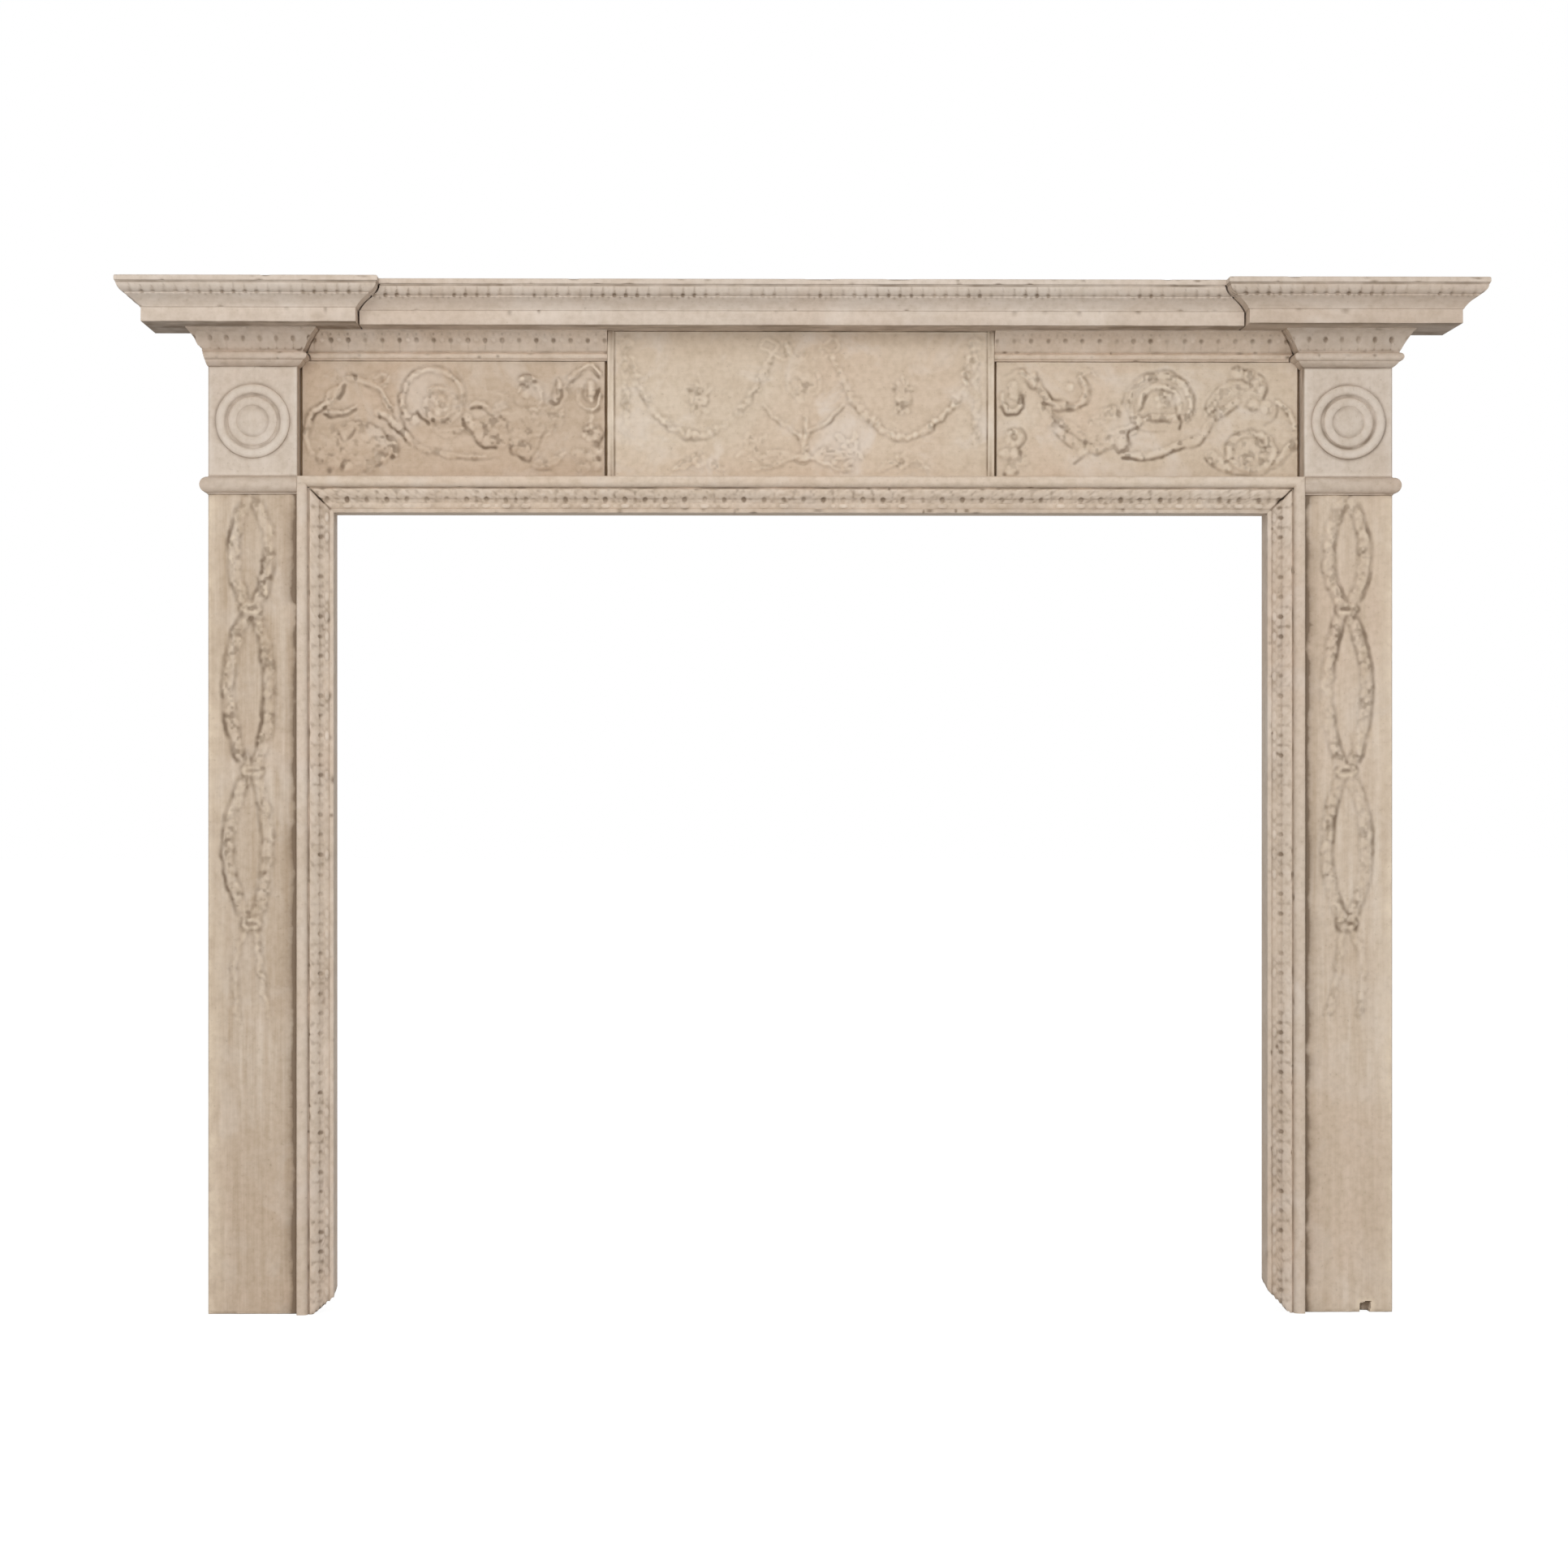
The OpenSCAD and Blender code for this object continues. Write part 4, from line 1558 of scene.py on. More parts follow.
@dataclass
class FriezePanel(CarvedBoard):
    """A frieze board carved with scrolling acanthus that ends in a curled flower."""

    side: Side = Side.LEFT
    rise: float = 3.5

    def carve(self) -> ReliefField:
        """Carves the scroll: u runs from the board's left end."""
        face = ReliefField(self.layout.panel_out - self.layout.panel_in, self.layout.bed_z - self.layout.frieze_z, 0.95)
        self.flower(face)
        self.hooked_leaf(face)
        self.volute(face)
        self.great_leaf(face)
        self.small_volute(face)
        self.candelabrum(face)
        return face

    def flower(self, face: ReliefField) -> None:
        """Carves the flower at the block end: leaves that curl over a heart."""
        high = self.rise
        for u, v, radius in ((72, 46, 36), (48, 44, 30), (98, 44, 25)):
            face.dab(u, v, radius, high * 0.55, 3.0)
        face.stem([(38, 102), (25, 97), (13, 86), (7, 72), (6, 52), (12, 34)], 7, 9, high * 0.85)
        face.line([(30, 95), (17, 84), (14, 70), (14, 50)], 3.0, 1.1)
        face.line([(20, 100), (6, 88), (1, 70), (0, 50)], 3.0, 1.0)
        face.leaf([(28, 90), (45, 88), (62, 90), (74, 98)], 7, high * 0.9, 0.0)
        face.line([(28, 87), (38, 81), (55, 84), (72, 92)], 4.2, 2.1)
        face.dab(57, 58, 8, high)
        face.line([(46, 66), (51, 55), (57, 49), (64, 54), (69, 65)], 3.8, 1.9)
        face.line([(43, 64), (50, 74), (78, 76), (105, 67), (115, 54)], 3.6, 1.0)
        for u, v, radius in ((27, 29, 9), (44, 21, 10), (62, 16, 9), (88, 15, 10), (104, 25, 9)):
            face.dab(u, v, radius, high * 0.9, 2.6)
        for u, v, radius in ((20, 22, 6), (54, 13, 5.5), (36, 10, 4.5), (121, 29, 5)):
            face.gouge(u, v, radius, 1.6)
        face.line([(75, 6), (92, 12), (106, 20)], 4.2, 2.0)
        face.leaf([(112, 54), (122, 42), (126, 28)], 13, high * 0.7)

    def hooked_leaf(self, face: ReliefField) -> None:
        """Carves the leaf that hooks over the flower, and the stem that runs down from it."""
        high = self.rise
        face.leaf([(32, 100), (36, 112), (46, 122)], 9, high * 0.85, 0.0)
        face.leaf([(40, 103), (45, 116), (55, 128)], 10, high, 0.0)
        face.line([(58, 124), (56, 114), (50, 106)], 5.2, 2.6)
        face.leaf([(50, 131), (40, 138), (30, 136)], 12, high * 0.7, 0.5)
        face.stem([(62, 136), (80, 131), (97, 122), (110, 108), (117, 95)], 9, 10, high * 0.95)
        face.line([(84, 125), (103, 114), (114, 100), (121, 88)], 3.8, 1.8)
        face.line([(66, 141), (84, 139), (98, 131)], 3.0, 1.1)
        face.leaf([(88, 128), (102, 138), (113, 139)], 11, high * 0.85)
        face.leaf([(100, 120), (112, 127), (118, 137)], 10, high * 0.8)
        face.gouge(106, 132, 4.5, 1.7)

    def volute(self, face: ReliefField) -> None:
        """Carves the great volute and the stem that feeds it."""
        high = self.rise
        face.stem([(100, 90), (112, 84), (127, 71), (146, 51), (157, 42)], 10, 9, high * 0.85)
        face.stem([(154, 44), (170, 36), (189, 32), (217, 30), (245, 30)], 9, 3, high * 0.5)
        face.line([(104, 84), (111, 80), (125, 66), (145, 44), (161, 35)], 3.8, 1.7)
        face.line([(161, 35), (189, 28), (217, 26), (240, 25), (262, 27)], 2.8, 1.0)
        face.line([(131, 89), (136, 75), (147, 58), (160, 46)], 3.4, 1.4)
        face.roll(spiral((175, 106), (41, 38), (215, -50)), 8, 7, high * 0.75)
        face.groove(spiral((175, 106), (46, 45), (205, 60)), 3.4, 1.4)
        face.groove(spiral((175, 106), (36, 35), (200, 90)), 3.0, 1.0)
        face.groove(spiral((177, 106), (46, 42), (50, -35)), 3.0, 0.9)
        face.roll(spiral((184, 98), (22, 19), (120, -200)), 9, 8, high * 0.7)
        face.groove(spiral((184, 98), (27, 26), (100, -120)), 3.0, 0.8)
        face.rosette((188, 98), 13, 5, high)
        for u, v in ((176, 104), (197, 106), (181, 88)):
            face.dab(u, v, 6, high * 0.9)
        face.dab(150, 79, 7, high)
        face.line([(154, 89), (160, 80), (167, 72)], 5.4, 2.7)
        face.line([(172, 78), (189, 76), (202, 86)], 3.6, 1.4)
        face.leaf([(170, 69), (195, 61), (222, 70)], 13, high * 0.4, 0.3)

    def great_leaf(self, face: ReliefField) -> None:
        """Carves the great acanthus leaf whose lobes hang over the stem."""
        high = self.rise
        face.leaf([(330, 62), (306, 72), (276, 70), (248, 66), (226, 74)], 44, high * 0.75, 0.2)
        for u, v, radius in ((221, 80, 7), (226, 68, 8), (237, 58, 9), (251, 51, 9), (267, 52, 11), (285, 46, 9),
                             (297, 38, 9), (308, 32, 7)):
            face.dab(u, v, radius + 1.5, high * 0.85, 2.2)
        face.line([(215, 81), (218, 70), (227, 59), (231, 52), (240, 43), (248, 40), (260, 39)], 4.0, 1.9)
        face.line([(279, 44), (281, 33), (290, 28), (301, 22)], 4.2, 2.1)
        face.line([(303, 22), (309, 32), (318, 49), (327, 64)], 3.8, 1.8)
        face.leaf([(226, 98), (238, 100), (250, 95)], 9, high, 0.0)
        face.line([(227, 93), (242, 92), (255, 83)], 4.8, 2.4)
        face.leaf([(258, 92), (272, 104), (262, 114)], 14, high * 0.4)
        face.leaf([(304, 70), (326, 88), (344, 106), (360, 126)], 24, high * 0.5, 0.3)
        face.leaf([(322, 58), (338, 74), (350, 92)], 20, high * 0.45, 0.4)
        face.leaf([(306, 18), (330, 20), (352, 34)], 15, high * 0.5)
        face.line([(306, 18), (318, 12), (336, 10)], 3.2, 1.0)

    def small_volute(self, face: ReliefField) -> None:
        """Carves the small volute over the great leaf and the hooked leaf beside it."""
        high = self.rise
        face.roll(spiral((303, 110), (19, 15), (-110, 150)), 7, 6, high * 0.6)
        face.leaf([(290, 133), (301, 136), (313, 132)], 9, high * 1.2, 0.0)
        face.line([(292, 126), (301, 125), (311, 127)], 6.0, 3.4)
        face.line([(283, 112), (286, 100), (300, 95), (317, 97)], 3.2, 1.1)
        face.dab(300, 113, 7, high * 0.6)
        face.leaf([(345, 106), (345, 122), (340, 134)], 9, high, 0.0)
        face.line([(331, 101), (340, 98), (346, 105), (348, 117)], 4.6, 2.3)
        face.line([(333, 112), (336, 124), (341, 134)], 3.4, 1.4)

    def candelabrum(self, face: ReliefField) -> None:
        """Carves the half candelabrum that stands against the tablet."""
        high = self.rise
        face.stem([(358, 134), (370, 143), (382, 152), (390, 147), (399, 138)], 7, 6, high * 0.9)
        face.line([(360, 128), (371, 137), (382, 145), (390, 141), (397, 134)], 3.8, 2.0)
        face.stem([(386, 124), (386, 109)], 13, 12, high)
        face.line([(376, 124), (375, 110), (385, 100), (394, 108), (398, 120)], 4.0, 2.1)
        face.stem([(368, 118), (370, 102), (382, 93), (395, 97), (400, 112)], 6, 5, high * 0.8)
        face.line([(372, 96), (384, 88), (397, 93)], 3.4, 1.5)
        face.stem([(386, 92), (386, 74)], 9, 8, high * 0.5)
        face.rosette((386, 60), 13, 6, high * 0.9)
        face.groove(spiral((386, 60), (16, 16), (-80, 50)), 3.4, 1.6)
        for u, v, radius in ((370, 34, 9), (385, 29, 10), (398, 36, 7), (376, 14, 9), (393, 18, 8)):
            face.dab(u, v, radius, high * 0.85)
        for u, v, radius in ((394, 47, 5), (388, 8, 5), (397, 27, 4.5), (378, 23, 4)):
            face.gouge(u, v, radius, 2.1)

    def edge_shade_and_dirt(self, face: ReliefField) -> Array:
        """Paints shade in the corner under the bed moulding, along the surround's top and in the gaps by the blocks."""
        # Painted shade: a band under the bed moulding, a line along the foot and a line at each end by the block.
        top = np.exp(-((face.tall - face.v) / 5.0) ** 2)[:, None]
        foot = np.exp(-(face.v / 2.5) ** 2)[:, None]
        ends = np.exp(-(np.minimum(face.u, face.width - face.u) / 1.8) ** 2)[None, :]
        return 0.3 * top + 0.25 * foot + 0.12 * ends


@dataclass
class RightFriezePanel(FriezePanel):
    """The right frieze board, cut to the same pattern by hand and worn in other places."""

    side: Side = Side.RIGHT

    def volute(self, face: ReliefField) -> None:
        """Carves the great volute and the stem that feeds it."""
        high = self.rise
        face.roll(spiral((222, 99), (42, 39), (205, -30)), 8, 8, high * 0.8)
        face.line([(170, 100), (175, 119), (186, 134), (201, 142), (221, 146), (240, 142), (255, 130), (267, 110),
                   (267, 92)], 3.4, 1.3)
        face.line([(179, 92), (183, 111), (190, 124), (201, 132), (215, 135)], 3.2, 1.2)
        face.roll(spiral((221, 97), (29, 25), (170, -40)), 8, 7, high * 0.75)
        face.line([(193, 92), (199, 108), (210, 117), (223, 119), (236, 112), (241, 97), (244, 84)], 3.6, 1.6)
        face.rosette((225, 106), 12, 5, high)
        face.leaf([(200, 80), (212, 84), (228, 82), (244, 87)], 10, high, 0.0)
        face.line([(207, 76), (220, 77), (232, 75)], 4.4, 2.1)
        face.line([(243, 86), (248, 77), (246, 66)], 4.4, 2.1)
        face.line([(190, 68), (205, 62), (226, 63)], 3.4, 1.2)
        face.stem([(177, 32), (199, 32), (220, 35), (236, 42), (255, 48), (272, 52), (283, 68), (294, 82), (308, 92),
                   (324, 104)], 9, 10, high * 0.85)
        face.line([(170, 27), (199, 26), (220, 29), (235, 36), (253, 41), (269, 44), (277, 50), (286, 65), (293, 76),
                   (307, 84), (324, 97)], 4.0, 2.0)

    def great_leaf(self, face: ReliefField) -> None:
        """Carves the great acanthus leaf with its ragged edge."""
        high = self.rise
        face.leaf([(60, 98), (80, 76), (112, 54), (150, 54), (182, 74)], 26, high * 0.6, 0.3)
        for u, v, radius in ((190, 80, 8), (183, 66, 8), (171, 49, 10), (152, 49, 9), (136, 42, 9), (118, 36, 8)):
            face.dab(u, v, radius, high, 2.4)
        for a, b in (((188, 71), (179, 63)), ((179, 63), (176, 40)), ((176, 38), (166, 34)), ((166, 34), (157, 45)),
                     ((157, 45), (136, 31)), ((136, 31), (125, 36)), ((125, 36), (104, 21))):
            face.line([a, b], 5.0, 2.4)
        face.line([(66, 96), (82, 75), (92, 65), (106, 56), (123, 48), (139, 45)], 3.6, 1.4)
        face.line([(74, 70), (88, 50), (103, 42)], 3.2, 0.9)
        face.dab(154, 88, 10, high)
        face.gouge(164, 88, 5.5, 2.5)
        face.line([(143, 96), (155, 100), (166, 97)], 3.4, 1.3)
        face.leaf([(150, 78), (136, 80), (126, 72)], 14, high * 0.4)

    def small_volute(self, face: ReliefField) -> None:
        """Carves the small volute over the great leaf."""
        high = self.rise
        face.stem([(50, 138), (60, 118), (76, 101), (96, 97), (113, 102), (120, 118), (114, 134)], 10, 8, high * 0.75)
        face.line([(120, 136), (127, 119), (124, 104), (114, 96)], 3.4, 1.4)
        face.line([(76, 92), (90, 90), (105, 93)], 4.0, 1.7)
        face.line([(60, 134), (66, 121), (75, 109), (88, 106)], 3.4, 1.3)
        face.line([(64, 101), (78, 98)], 4.0, 2.0)
        face.dab(99, 124, 7, high)
        face.leaf([(112, 138), (124, 144), (134, 138)], 9, high * 0.5)

    def candelabrum(self, face: ReliefField) -> None:
        """Carves the half candelabrum that stands against the tablet."""
        high = self.rise
        face.stem([(34, 142), (42, 136), (50, 127)], 9, 9, high)
        face.line([(38, 130), (46, 121), (52, 121), (56, 131), (54, 142)], 3.8, 2.0)
        face.line([(12, 138), (25, 147), (38, 147)], 3.6, 1.5)
        face.stem([(23, 126), (23, 112)], 14, 13, high * 0.9)
        face.stem([(7, 114), (10, 98), (20, 91), (31, 96), (36, 112)], 6, 6, high * 0.8)
        face.line([(33, 116), (37, 100), (29, 88), (14, 87), (5, 96)], 3.8, 1.8)
        face.rosette((24, 55), 13, 6, high)
        face.groove(spiral((24, 55), (16, 16), (60, -70)), 4.0, 1.9)
        for u, v, radius in ((10, 34, 8), (25, 33, 9), (36, 24, 8), (20, 12, 9)):
            face.dab(u, v, radius, high * 0.9)
        for u, v, radius in ((16, 24, 4.5), (33, 36, 4), (12, 6, 4), (28, 8, 4)):
            face.gouge(u, v, radius, 2.0)

    def hooked_leaf(self, face: ReliefField) -> None:
        """Carves the leaf that hooks over the flower."""
        high = self.rise
        face.leaf([(288, 90), (292, 108), (310, 121), (334, 123), (354, 114)], 24, high * 0.6, 0.4)
        for u, v, radius in ((324, 142, 9), (338, 138, 8), (349, 131, 9), (357, 119, 8), (286, 87, 8), (346, 100, 8),
                             (362, 97, 9)):
            face.dab(u, v, radius, high)
        face.line([(279, 86), (282, 103), (289, 114), (299, 124), (312, 131), (329, 132), (340, 127)], 3.6, 1.5)
        face.line([(352, 140), (361, 131), (365, 119), (358, 107)], 3.8, 1.8)
        face.line([(376, 99), (377, 89), (372, 80), (362, 73)], 3.8, 1.6)
        face.line([(335, 97), (343, 92), (350, 92)], 3.8, 1.6)
        face.stem([(378, 104), (394, 90), (402, 70)], 8, 7, high * 0.8)

    def flower(self, face: ReliefField) -> None:
        """Carves the flower at the block end: a ring of petals round a low heart."""
        high = self.rise
        face.dab(342, 38, 30, high * 0.5, 3.0)
        face.roll(spiral((343, 37), (30, 30), (0, 360), 0.8), 10, 10, high * 0.8)
        face.groove(spiral((343, 38), (22, 22), (-10, 200), 0.85), 3.2, 1.0)
        face.groove(spiral((343, 37), (36, 36), (60, 190), 0.8), 3.4, 1.2)
        for i in range(6):
            turn = math.radians(210 + 21 * i + 5 * (i % 2))
            face.gouge(343 + 28 * math.cos(turn), 39 + 25 * math.sin(turn), 2.8, 1.2)
        for u, v, radius in ((356, 58, 7), (366, 49, 8), (364, 38, 7), (289, 30, 9), (300, 21, 9), (309, 16, 8)):
            face.dab(u, v, radius, high)
        face.line([(338, 66), (350, 56), (357, 49)], 4.0, 1.9)
        face.line([(310, 10), (329, 4), (351, 4), (367, 11), (381, 16), (394, 32), (403, 41)], 3.8, 1.8)
        face.line([(281, 27), (291, 17), (303, 10)], 3.8, 1.7)
        face.stem([(376, 22), (390, 38), (402, 50)], 8, 8, high * 0.7)


@dataclass
class CentreTablet(CarvedBoard):
    """The raised centre board, with worn swags of husks round a shallow urn."""

    rise: float = 1.9
    cutting: float = 0.55
    stray: float = 2.2
    body_rub: float = 0.3
    gone: float = 0.4
    quirk: float = 9.8

    def carve(self) -> ReliefField:
        """Carves the tablet: u runs from its left edge."""
        width = 2 * self.layout.tablet
        face = ReliefField(width, self.layout.cornice_z - self.layout.frieze_z, 1.05)
        for side in Side:
            self.half(face, side.value)
        self.middle(face)
        return face

    def half(self, face: ReliefField, s: int) -> None:
        """Carves one side's husk drop, swag, trophy and flowers.

        Args:
            face: The field.
            s: -1 on the left and 1 on the right.
        """
        mid, high = face.width / 2, self.rise

        def at(x: float, v: float) -> Point:
            """Gives the point at a distance from the middle line."""
            return mid + s * x, v

        drop = curve([at(234, 170), at(235, 110), at(234, 46)])
        face.husks(drop, 13, 9, high * 0.7, 5 + s, 0.8)
        face.rosette(at(234, 178), 9, 5, high)
        face.dab(*at(234, 180), 9, high * 0.9)
        face.line([at(229, 168), at(234, 165), at(239, 168)], 3.0, 1.4)
        swag = curve([at(225, 160), at(219, 124), at(207, 103), at(193, 85), at(174, 69), at(140, 56),
                      at(114, 62), at(88, 84), at(66, 111), at(49, 143), at(38, 166)])
        face.roll(swag, 5, 5, high * 0.5)
        chance = np.random.default_rng(40 + s)
        for u, v in swag[::9]:
            face.dab(u + chance.uniform(-1.5, 1.5), v + chance.uniform(-1.5, 1.5), chance.uniform(4.0, 6.6),
                     high * chance.uniform(0.6, 1.2))
        face.groove(swag + np.array([0.0, -6.5]), 3.2, 1.1)
        self.trophy(face, at(135, 110), s)
        face.rosette(at(137, 24), 11, 6, high)
        for reach, lift in ((-36, 10), (36, 10), (-26, 20), (26, 20)):
            face.leaf([at(137 + reach * 0.3, 22), at(137 + reach, lift)], 9, high * 0.7, 0.5)
        face.rosette(at(66, 44), 11, 6, high * 0.9)
        for reach, lift in ((52, 24), (84, 26), (72, 62), (46, 58)):
            face.leaf([at(66 + (reach - 66) * 0.4, 44 + (lift - 44) * 0.4), at(reach, lift)], 9, high * 0.7, 0.5)
        face.stem([at(0, 30), at(22, 24), at(44, 13), at(66, 11)], 5, 4, high * 0.8)
        face.line([at(14, 24), at(36, 13), at(62, 7)], 2.6, 1.1)
        for x, v in ((24, 30), (42, 24), (58, 20)):
            face.leaf([at(x, v - 6), at(x + 10, v + 4)], 8, high * 0.7, 0.4)
        face.stem([at(38, 166), at(30, 178), at(44, 186), at(52, 176), at(40, 167)], 4.5, 4, high * 0.5)
        face.stem([at(38, 166), at(24, 158), at(14, 164)], 4, 3, high * 0.45)

    def trophy(self, face: ReliefField, at: Point, s: int) -> None:
        """Carves the small hanging trophy inside a swag.

        Args:
            face: The field.
            at: Its middle.
            s: -1 on the left and 1 on the right.
        """
        u, v = at
        high = self.rise
        face.stem([(u, v + 26), (u, v + 8)], 3, 4, high * 0.6)
        face.fan((u, v), (35, 70, 110, 145), 20, 8, high * 0.75)
        face.dab(u + s * 2, v - 4, 11, high * 0.8, 2.6)
        face.gouge(u - 12, v + 6, 4.2, 1.3)
        face.groove(spiral((u + s * 2, v - 4), (12, 12), (190, 350)), 2.6, 1.2)
        face.fan((u, v - 12), (230, 270, 310), 15, 8, high * 0.7)

    def middle(self, face: ReliefField) -> None:
        """Carves the urn on its leafy stalk, and the bow above."""
        mid, high = face.width / 2 + 4, self.rise
        for s in (-1, 1):
            face.stem([(mid + s * 2, 46), (mid + s * 8, 60), (mid + s * 32, 74), (mid + s * 54, 98)], 6, 4, high * 0.6)
            face.line([(mid + s * 6, 52), (mid + s * 14, 62), (mid + s * 36, 74), (mid + s * 54, 95)], 3.6, 1.2)
            face.stem([(mid, 148), (mid + s * 16, 144), (mid + s * 20, 124), (mid + s * 6, 100)], 6, 6, high * 0.35)
            face.leaf([(mid + s * 4, 150), (mid + s * 18, 164), (mid + s * 22, 182)], 12, high * 0.7, 0.5)
            face.leaf([(mid + s * 10, 28), (mid + s * 34, 34), (mid + s * 62, 30)], 12, high * 0.8, 0.5)
        for lift, radius in ((126, 17), (108, 11), (158, 9), (88, 7)):
            face.dab(mid, lift, radius, high * 0.5, 3.0)
        face.stem([(mid, 84), (mid + 3, 60), (mid, 44), (mid, 34)], 6, 7, high * 0.8)
        face.dab(mid, 27, 8, high * 1.3, 2.4)
        face.line([(mid - 14, 24), (mid, 18), (mid + 14, 24)], 4.0, 3.0)

    def edge_shade_and_dirt(self, face: ReliefField) -> Array:
        """Paints shade in the quirk beside each end's raised strip."""
        near = np.minimum(face.u, face.width - face.u)
        return 0.12 * np.exp(-((near - self.quirk) / 1.6) ** 2)[None, :] * np.ones((face.rows, 1))

    def trim(self, face: ReliefField, heights: Array) -> Array:
        """Leaves a straight raised strip and a quirk at each end."""
        near = np.minimum(face.u, face.width - face.u)[None, :]
        heights = np.where(np.abs(near - 4.5) < 4.0, np.maximum(heights, 1.4), heights)
        return heights - 0.35 * np.exp(-((near - self.quirk) / 1.7) ** 2)

    def max_rise(self) -> float:
        """Gives the greatest height that the carving may reach."""
        return TABLET_RELIEF


@dataclass
class Pilaster(CarvedBoard):
    """A pilaster board with a garland of husks looped three times and left to hang."""

    side: Side = Side.LEFT
    rise: float = 3.8
    gone: float = 0.3
    body_rub: float = 0.6
    drop: float = 5.0
    loops: tuple[float, ...] = (148.0, 215.0, 203.0)
    bows: tuple[float, ...] = (21.0, 25.0, 23.5)
    leans: tuple[float, ...] = (0.0, -3.0, -4.5)
    off_middle: float = -2.0
    strand: float = 17.5

    def carve(self) -> ReliefField:
        """Carves the garland from the top of the board down."""
        width = self.layout.pilaster_out - self.layout.pilaster_in
        face = ReliefField(width, self.layout.neck_z, 1.15, mirrored=self.side is Side.RIGHT)
        middle, top = width / 2 + self.off_middle, face.tall - self.drop
        worn = np.random.default_rng(self.seed)
        for i, (tall, widest, lean) in enumerate(zip(self.loops, self.bows, self.leans)):
            for s in (-1, 1):
                t = np.linspace(0, 1, int(tall))
                bow = widest * np.sin(math.pi * t) ** 0.8
                path = np.stack([middle + s * (2.5 + bow) + lean * np.sin(math.pi * t), top - tall * t], axis=1)
                rise = self.rise * (1 - 0.12 * i) * worn.uniform(0.9, 1.0)
                face.husks(path, 19.0, self.strand, rise, self.seed * 10 + 2 * i + s, 1.3)
                bold = 2.4 * (1 - 0.12 * i)
                outer, inner = (1.1, 0.35) if s < 0 else (0.3, 1.0)
                for shift, depth in ((self.strand / 2 + 0.4, outer * bold), (0.4 - self.strand / 2, inner * bold)):
                    edge = path + np.array([s * shift, 0.0])
                    share = 0.5 + 0.5 * np.sin(np.linspace(0, worn.uniform(9, 16), len(path)) + worn.uniform(0, 6))
                    for (u, v), strength in list(zip(edge, share))[8:-12]:
                        face.gouge(u, v, 2.6, depth * (0.5 + 0.5 * strength))
            top -= tall
            self.knot(face, middle, top, i)
        self.tails(face, middle, top)
        face.stem([(middle, face.tall - 1), (middle - 3, face.tall - 16)], 5, 6, self.rise * 0.8)
        return face

    def knot(self, face: ReliefField, middle: float, level: float, row: int) -> None:
        """Carves the band that ties two loops.

        Args:
            face: The field.
            middle: The garland's middle line.
            level: The knot's height on the board.
            row: Which knot it is, from the top.
        """
        rise = self.rise * (1.15, 0.95, 0.85)[row]
        for lift, wide in ((4.2, 9.0), (-4.2, 8.5)):
            face.stem([(middle - wide, level + lift), (middle, level + lift * 1.25), (middle + wide, level + lift)],
                      7, 7, rise)
        for s in (-1, 1):
            face.dab(middle + s * 10.5, level, 5.5, rise * 0.9)
            face.groove(spiral((middle, level), (15, 15), (90 - s * 50, 90 - s * 140), 0.75), 3.4, 1.7)
        face.line([(middle - 4, level - 0.6), (middle + 8, level + 1.2)], 3.4, rise * 0.8)
        face.line([(middle - 14, level - 10), (middle, level - 12.5), (middle + 14, level - 10)], 3.0, 1.2)

    def tails(self, face: ReliefField, middle: float, level: float) -> None:
        """Carves the two worn ends that hang below the last knot.

        Args:
            face: The field.
            middle: The garland's middle line.
            level: The last knot's height on the board.
        """
        left = ((-4, -6), (-14, -24), (-24, -56), (-22, -80), (-19, -124))
        right = ((4, -8), (9, -34), (11, -62), (18, -100), (26, -124))
        for points in (left, right):
            path = curve([(middle + du, level + dv) for du, dv in points])
            face.husks(path, 17, 10, self.rise * 0.6, self.seed + 7, 0.6)
            face.groove(path + np.array([5.6, 0.0]), 2.2, 0.7)

    def edge_shade_and_dirt(self, face: ReliefField) -> Array:
        """Paints shade in the corner by the surround's proud bead and under the neck moulding, and lays patchy grime
        along the foot.
        """
        u = face.u if self.side is Side.RIGHT else face.width - face.u
        # Painted shade: the surround's proud bead shades the board's inner edge.
        inner = (2.2 * np.exp(-(u / 5.5) ** 2) + 0.6 * np.exp(-(u / 15.0) ** 2))[None, :]
        inner = inner * (0.9 + 0.15 * patchy(face.rows, face.columns, 40, 1, 77))
        # Painted shade under the neck moulding; the patchy darkening at the foot is grime.
        top = np.exp(-((face.tall - face.v) / 3.5) ** 2)[:, None]
        foot = np.exp(-(face.v / 10.0) ** 2)[:, None] * (0.5 + 0.5 * patchy(face.rows, face.columns, 90, 14, 78))
        return inner + 0.5 * top + 0.3 * foot

    def edge_rub(self, face: ReliefField) -> Array:
        """Rubs the outer edge pale, where hands and brooms catch it."""
        u = face.width - face.u if self.side is Side.RIGHT else face.u
        worn = 0.6 + 0.5 * patchy(face.rows, face.columns, face.tall / 120, 3, self.seed + 11)
        return worn * np.exp(-(u / 17.0) ** 2)[None, :]

    def trim(self, face: ReliefField, heights: Array) -> Array:
        """Breaks the notch out of the right board's foot, and bruises both feet."""
        ragged = face.patches(9, self.seed + 20)
        bruise = np.clip(1.6 - face.v / 3.0, 0, 1)[:, None] * (0.8 + 0.8 * ragged)
        heights = heights - np.clip(bruise, 0, 2)
        if self.side is Side.RIGHT:
            at = face.width * 0.64
            wide = 13 + 2.0 * ragged
            tall = 13 + 2.5 * ragged
            hole = (face.u[None, :] > at) & (face.u[None, :] < at + wide) & (face.v[:, None] < tall)
            heights = np.where(hole, heights - 19, heights)
        return heights


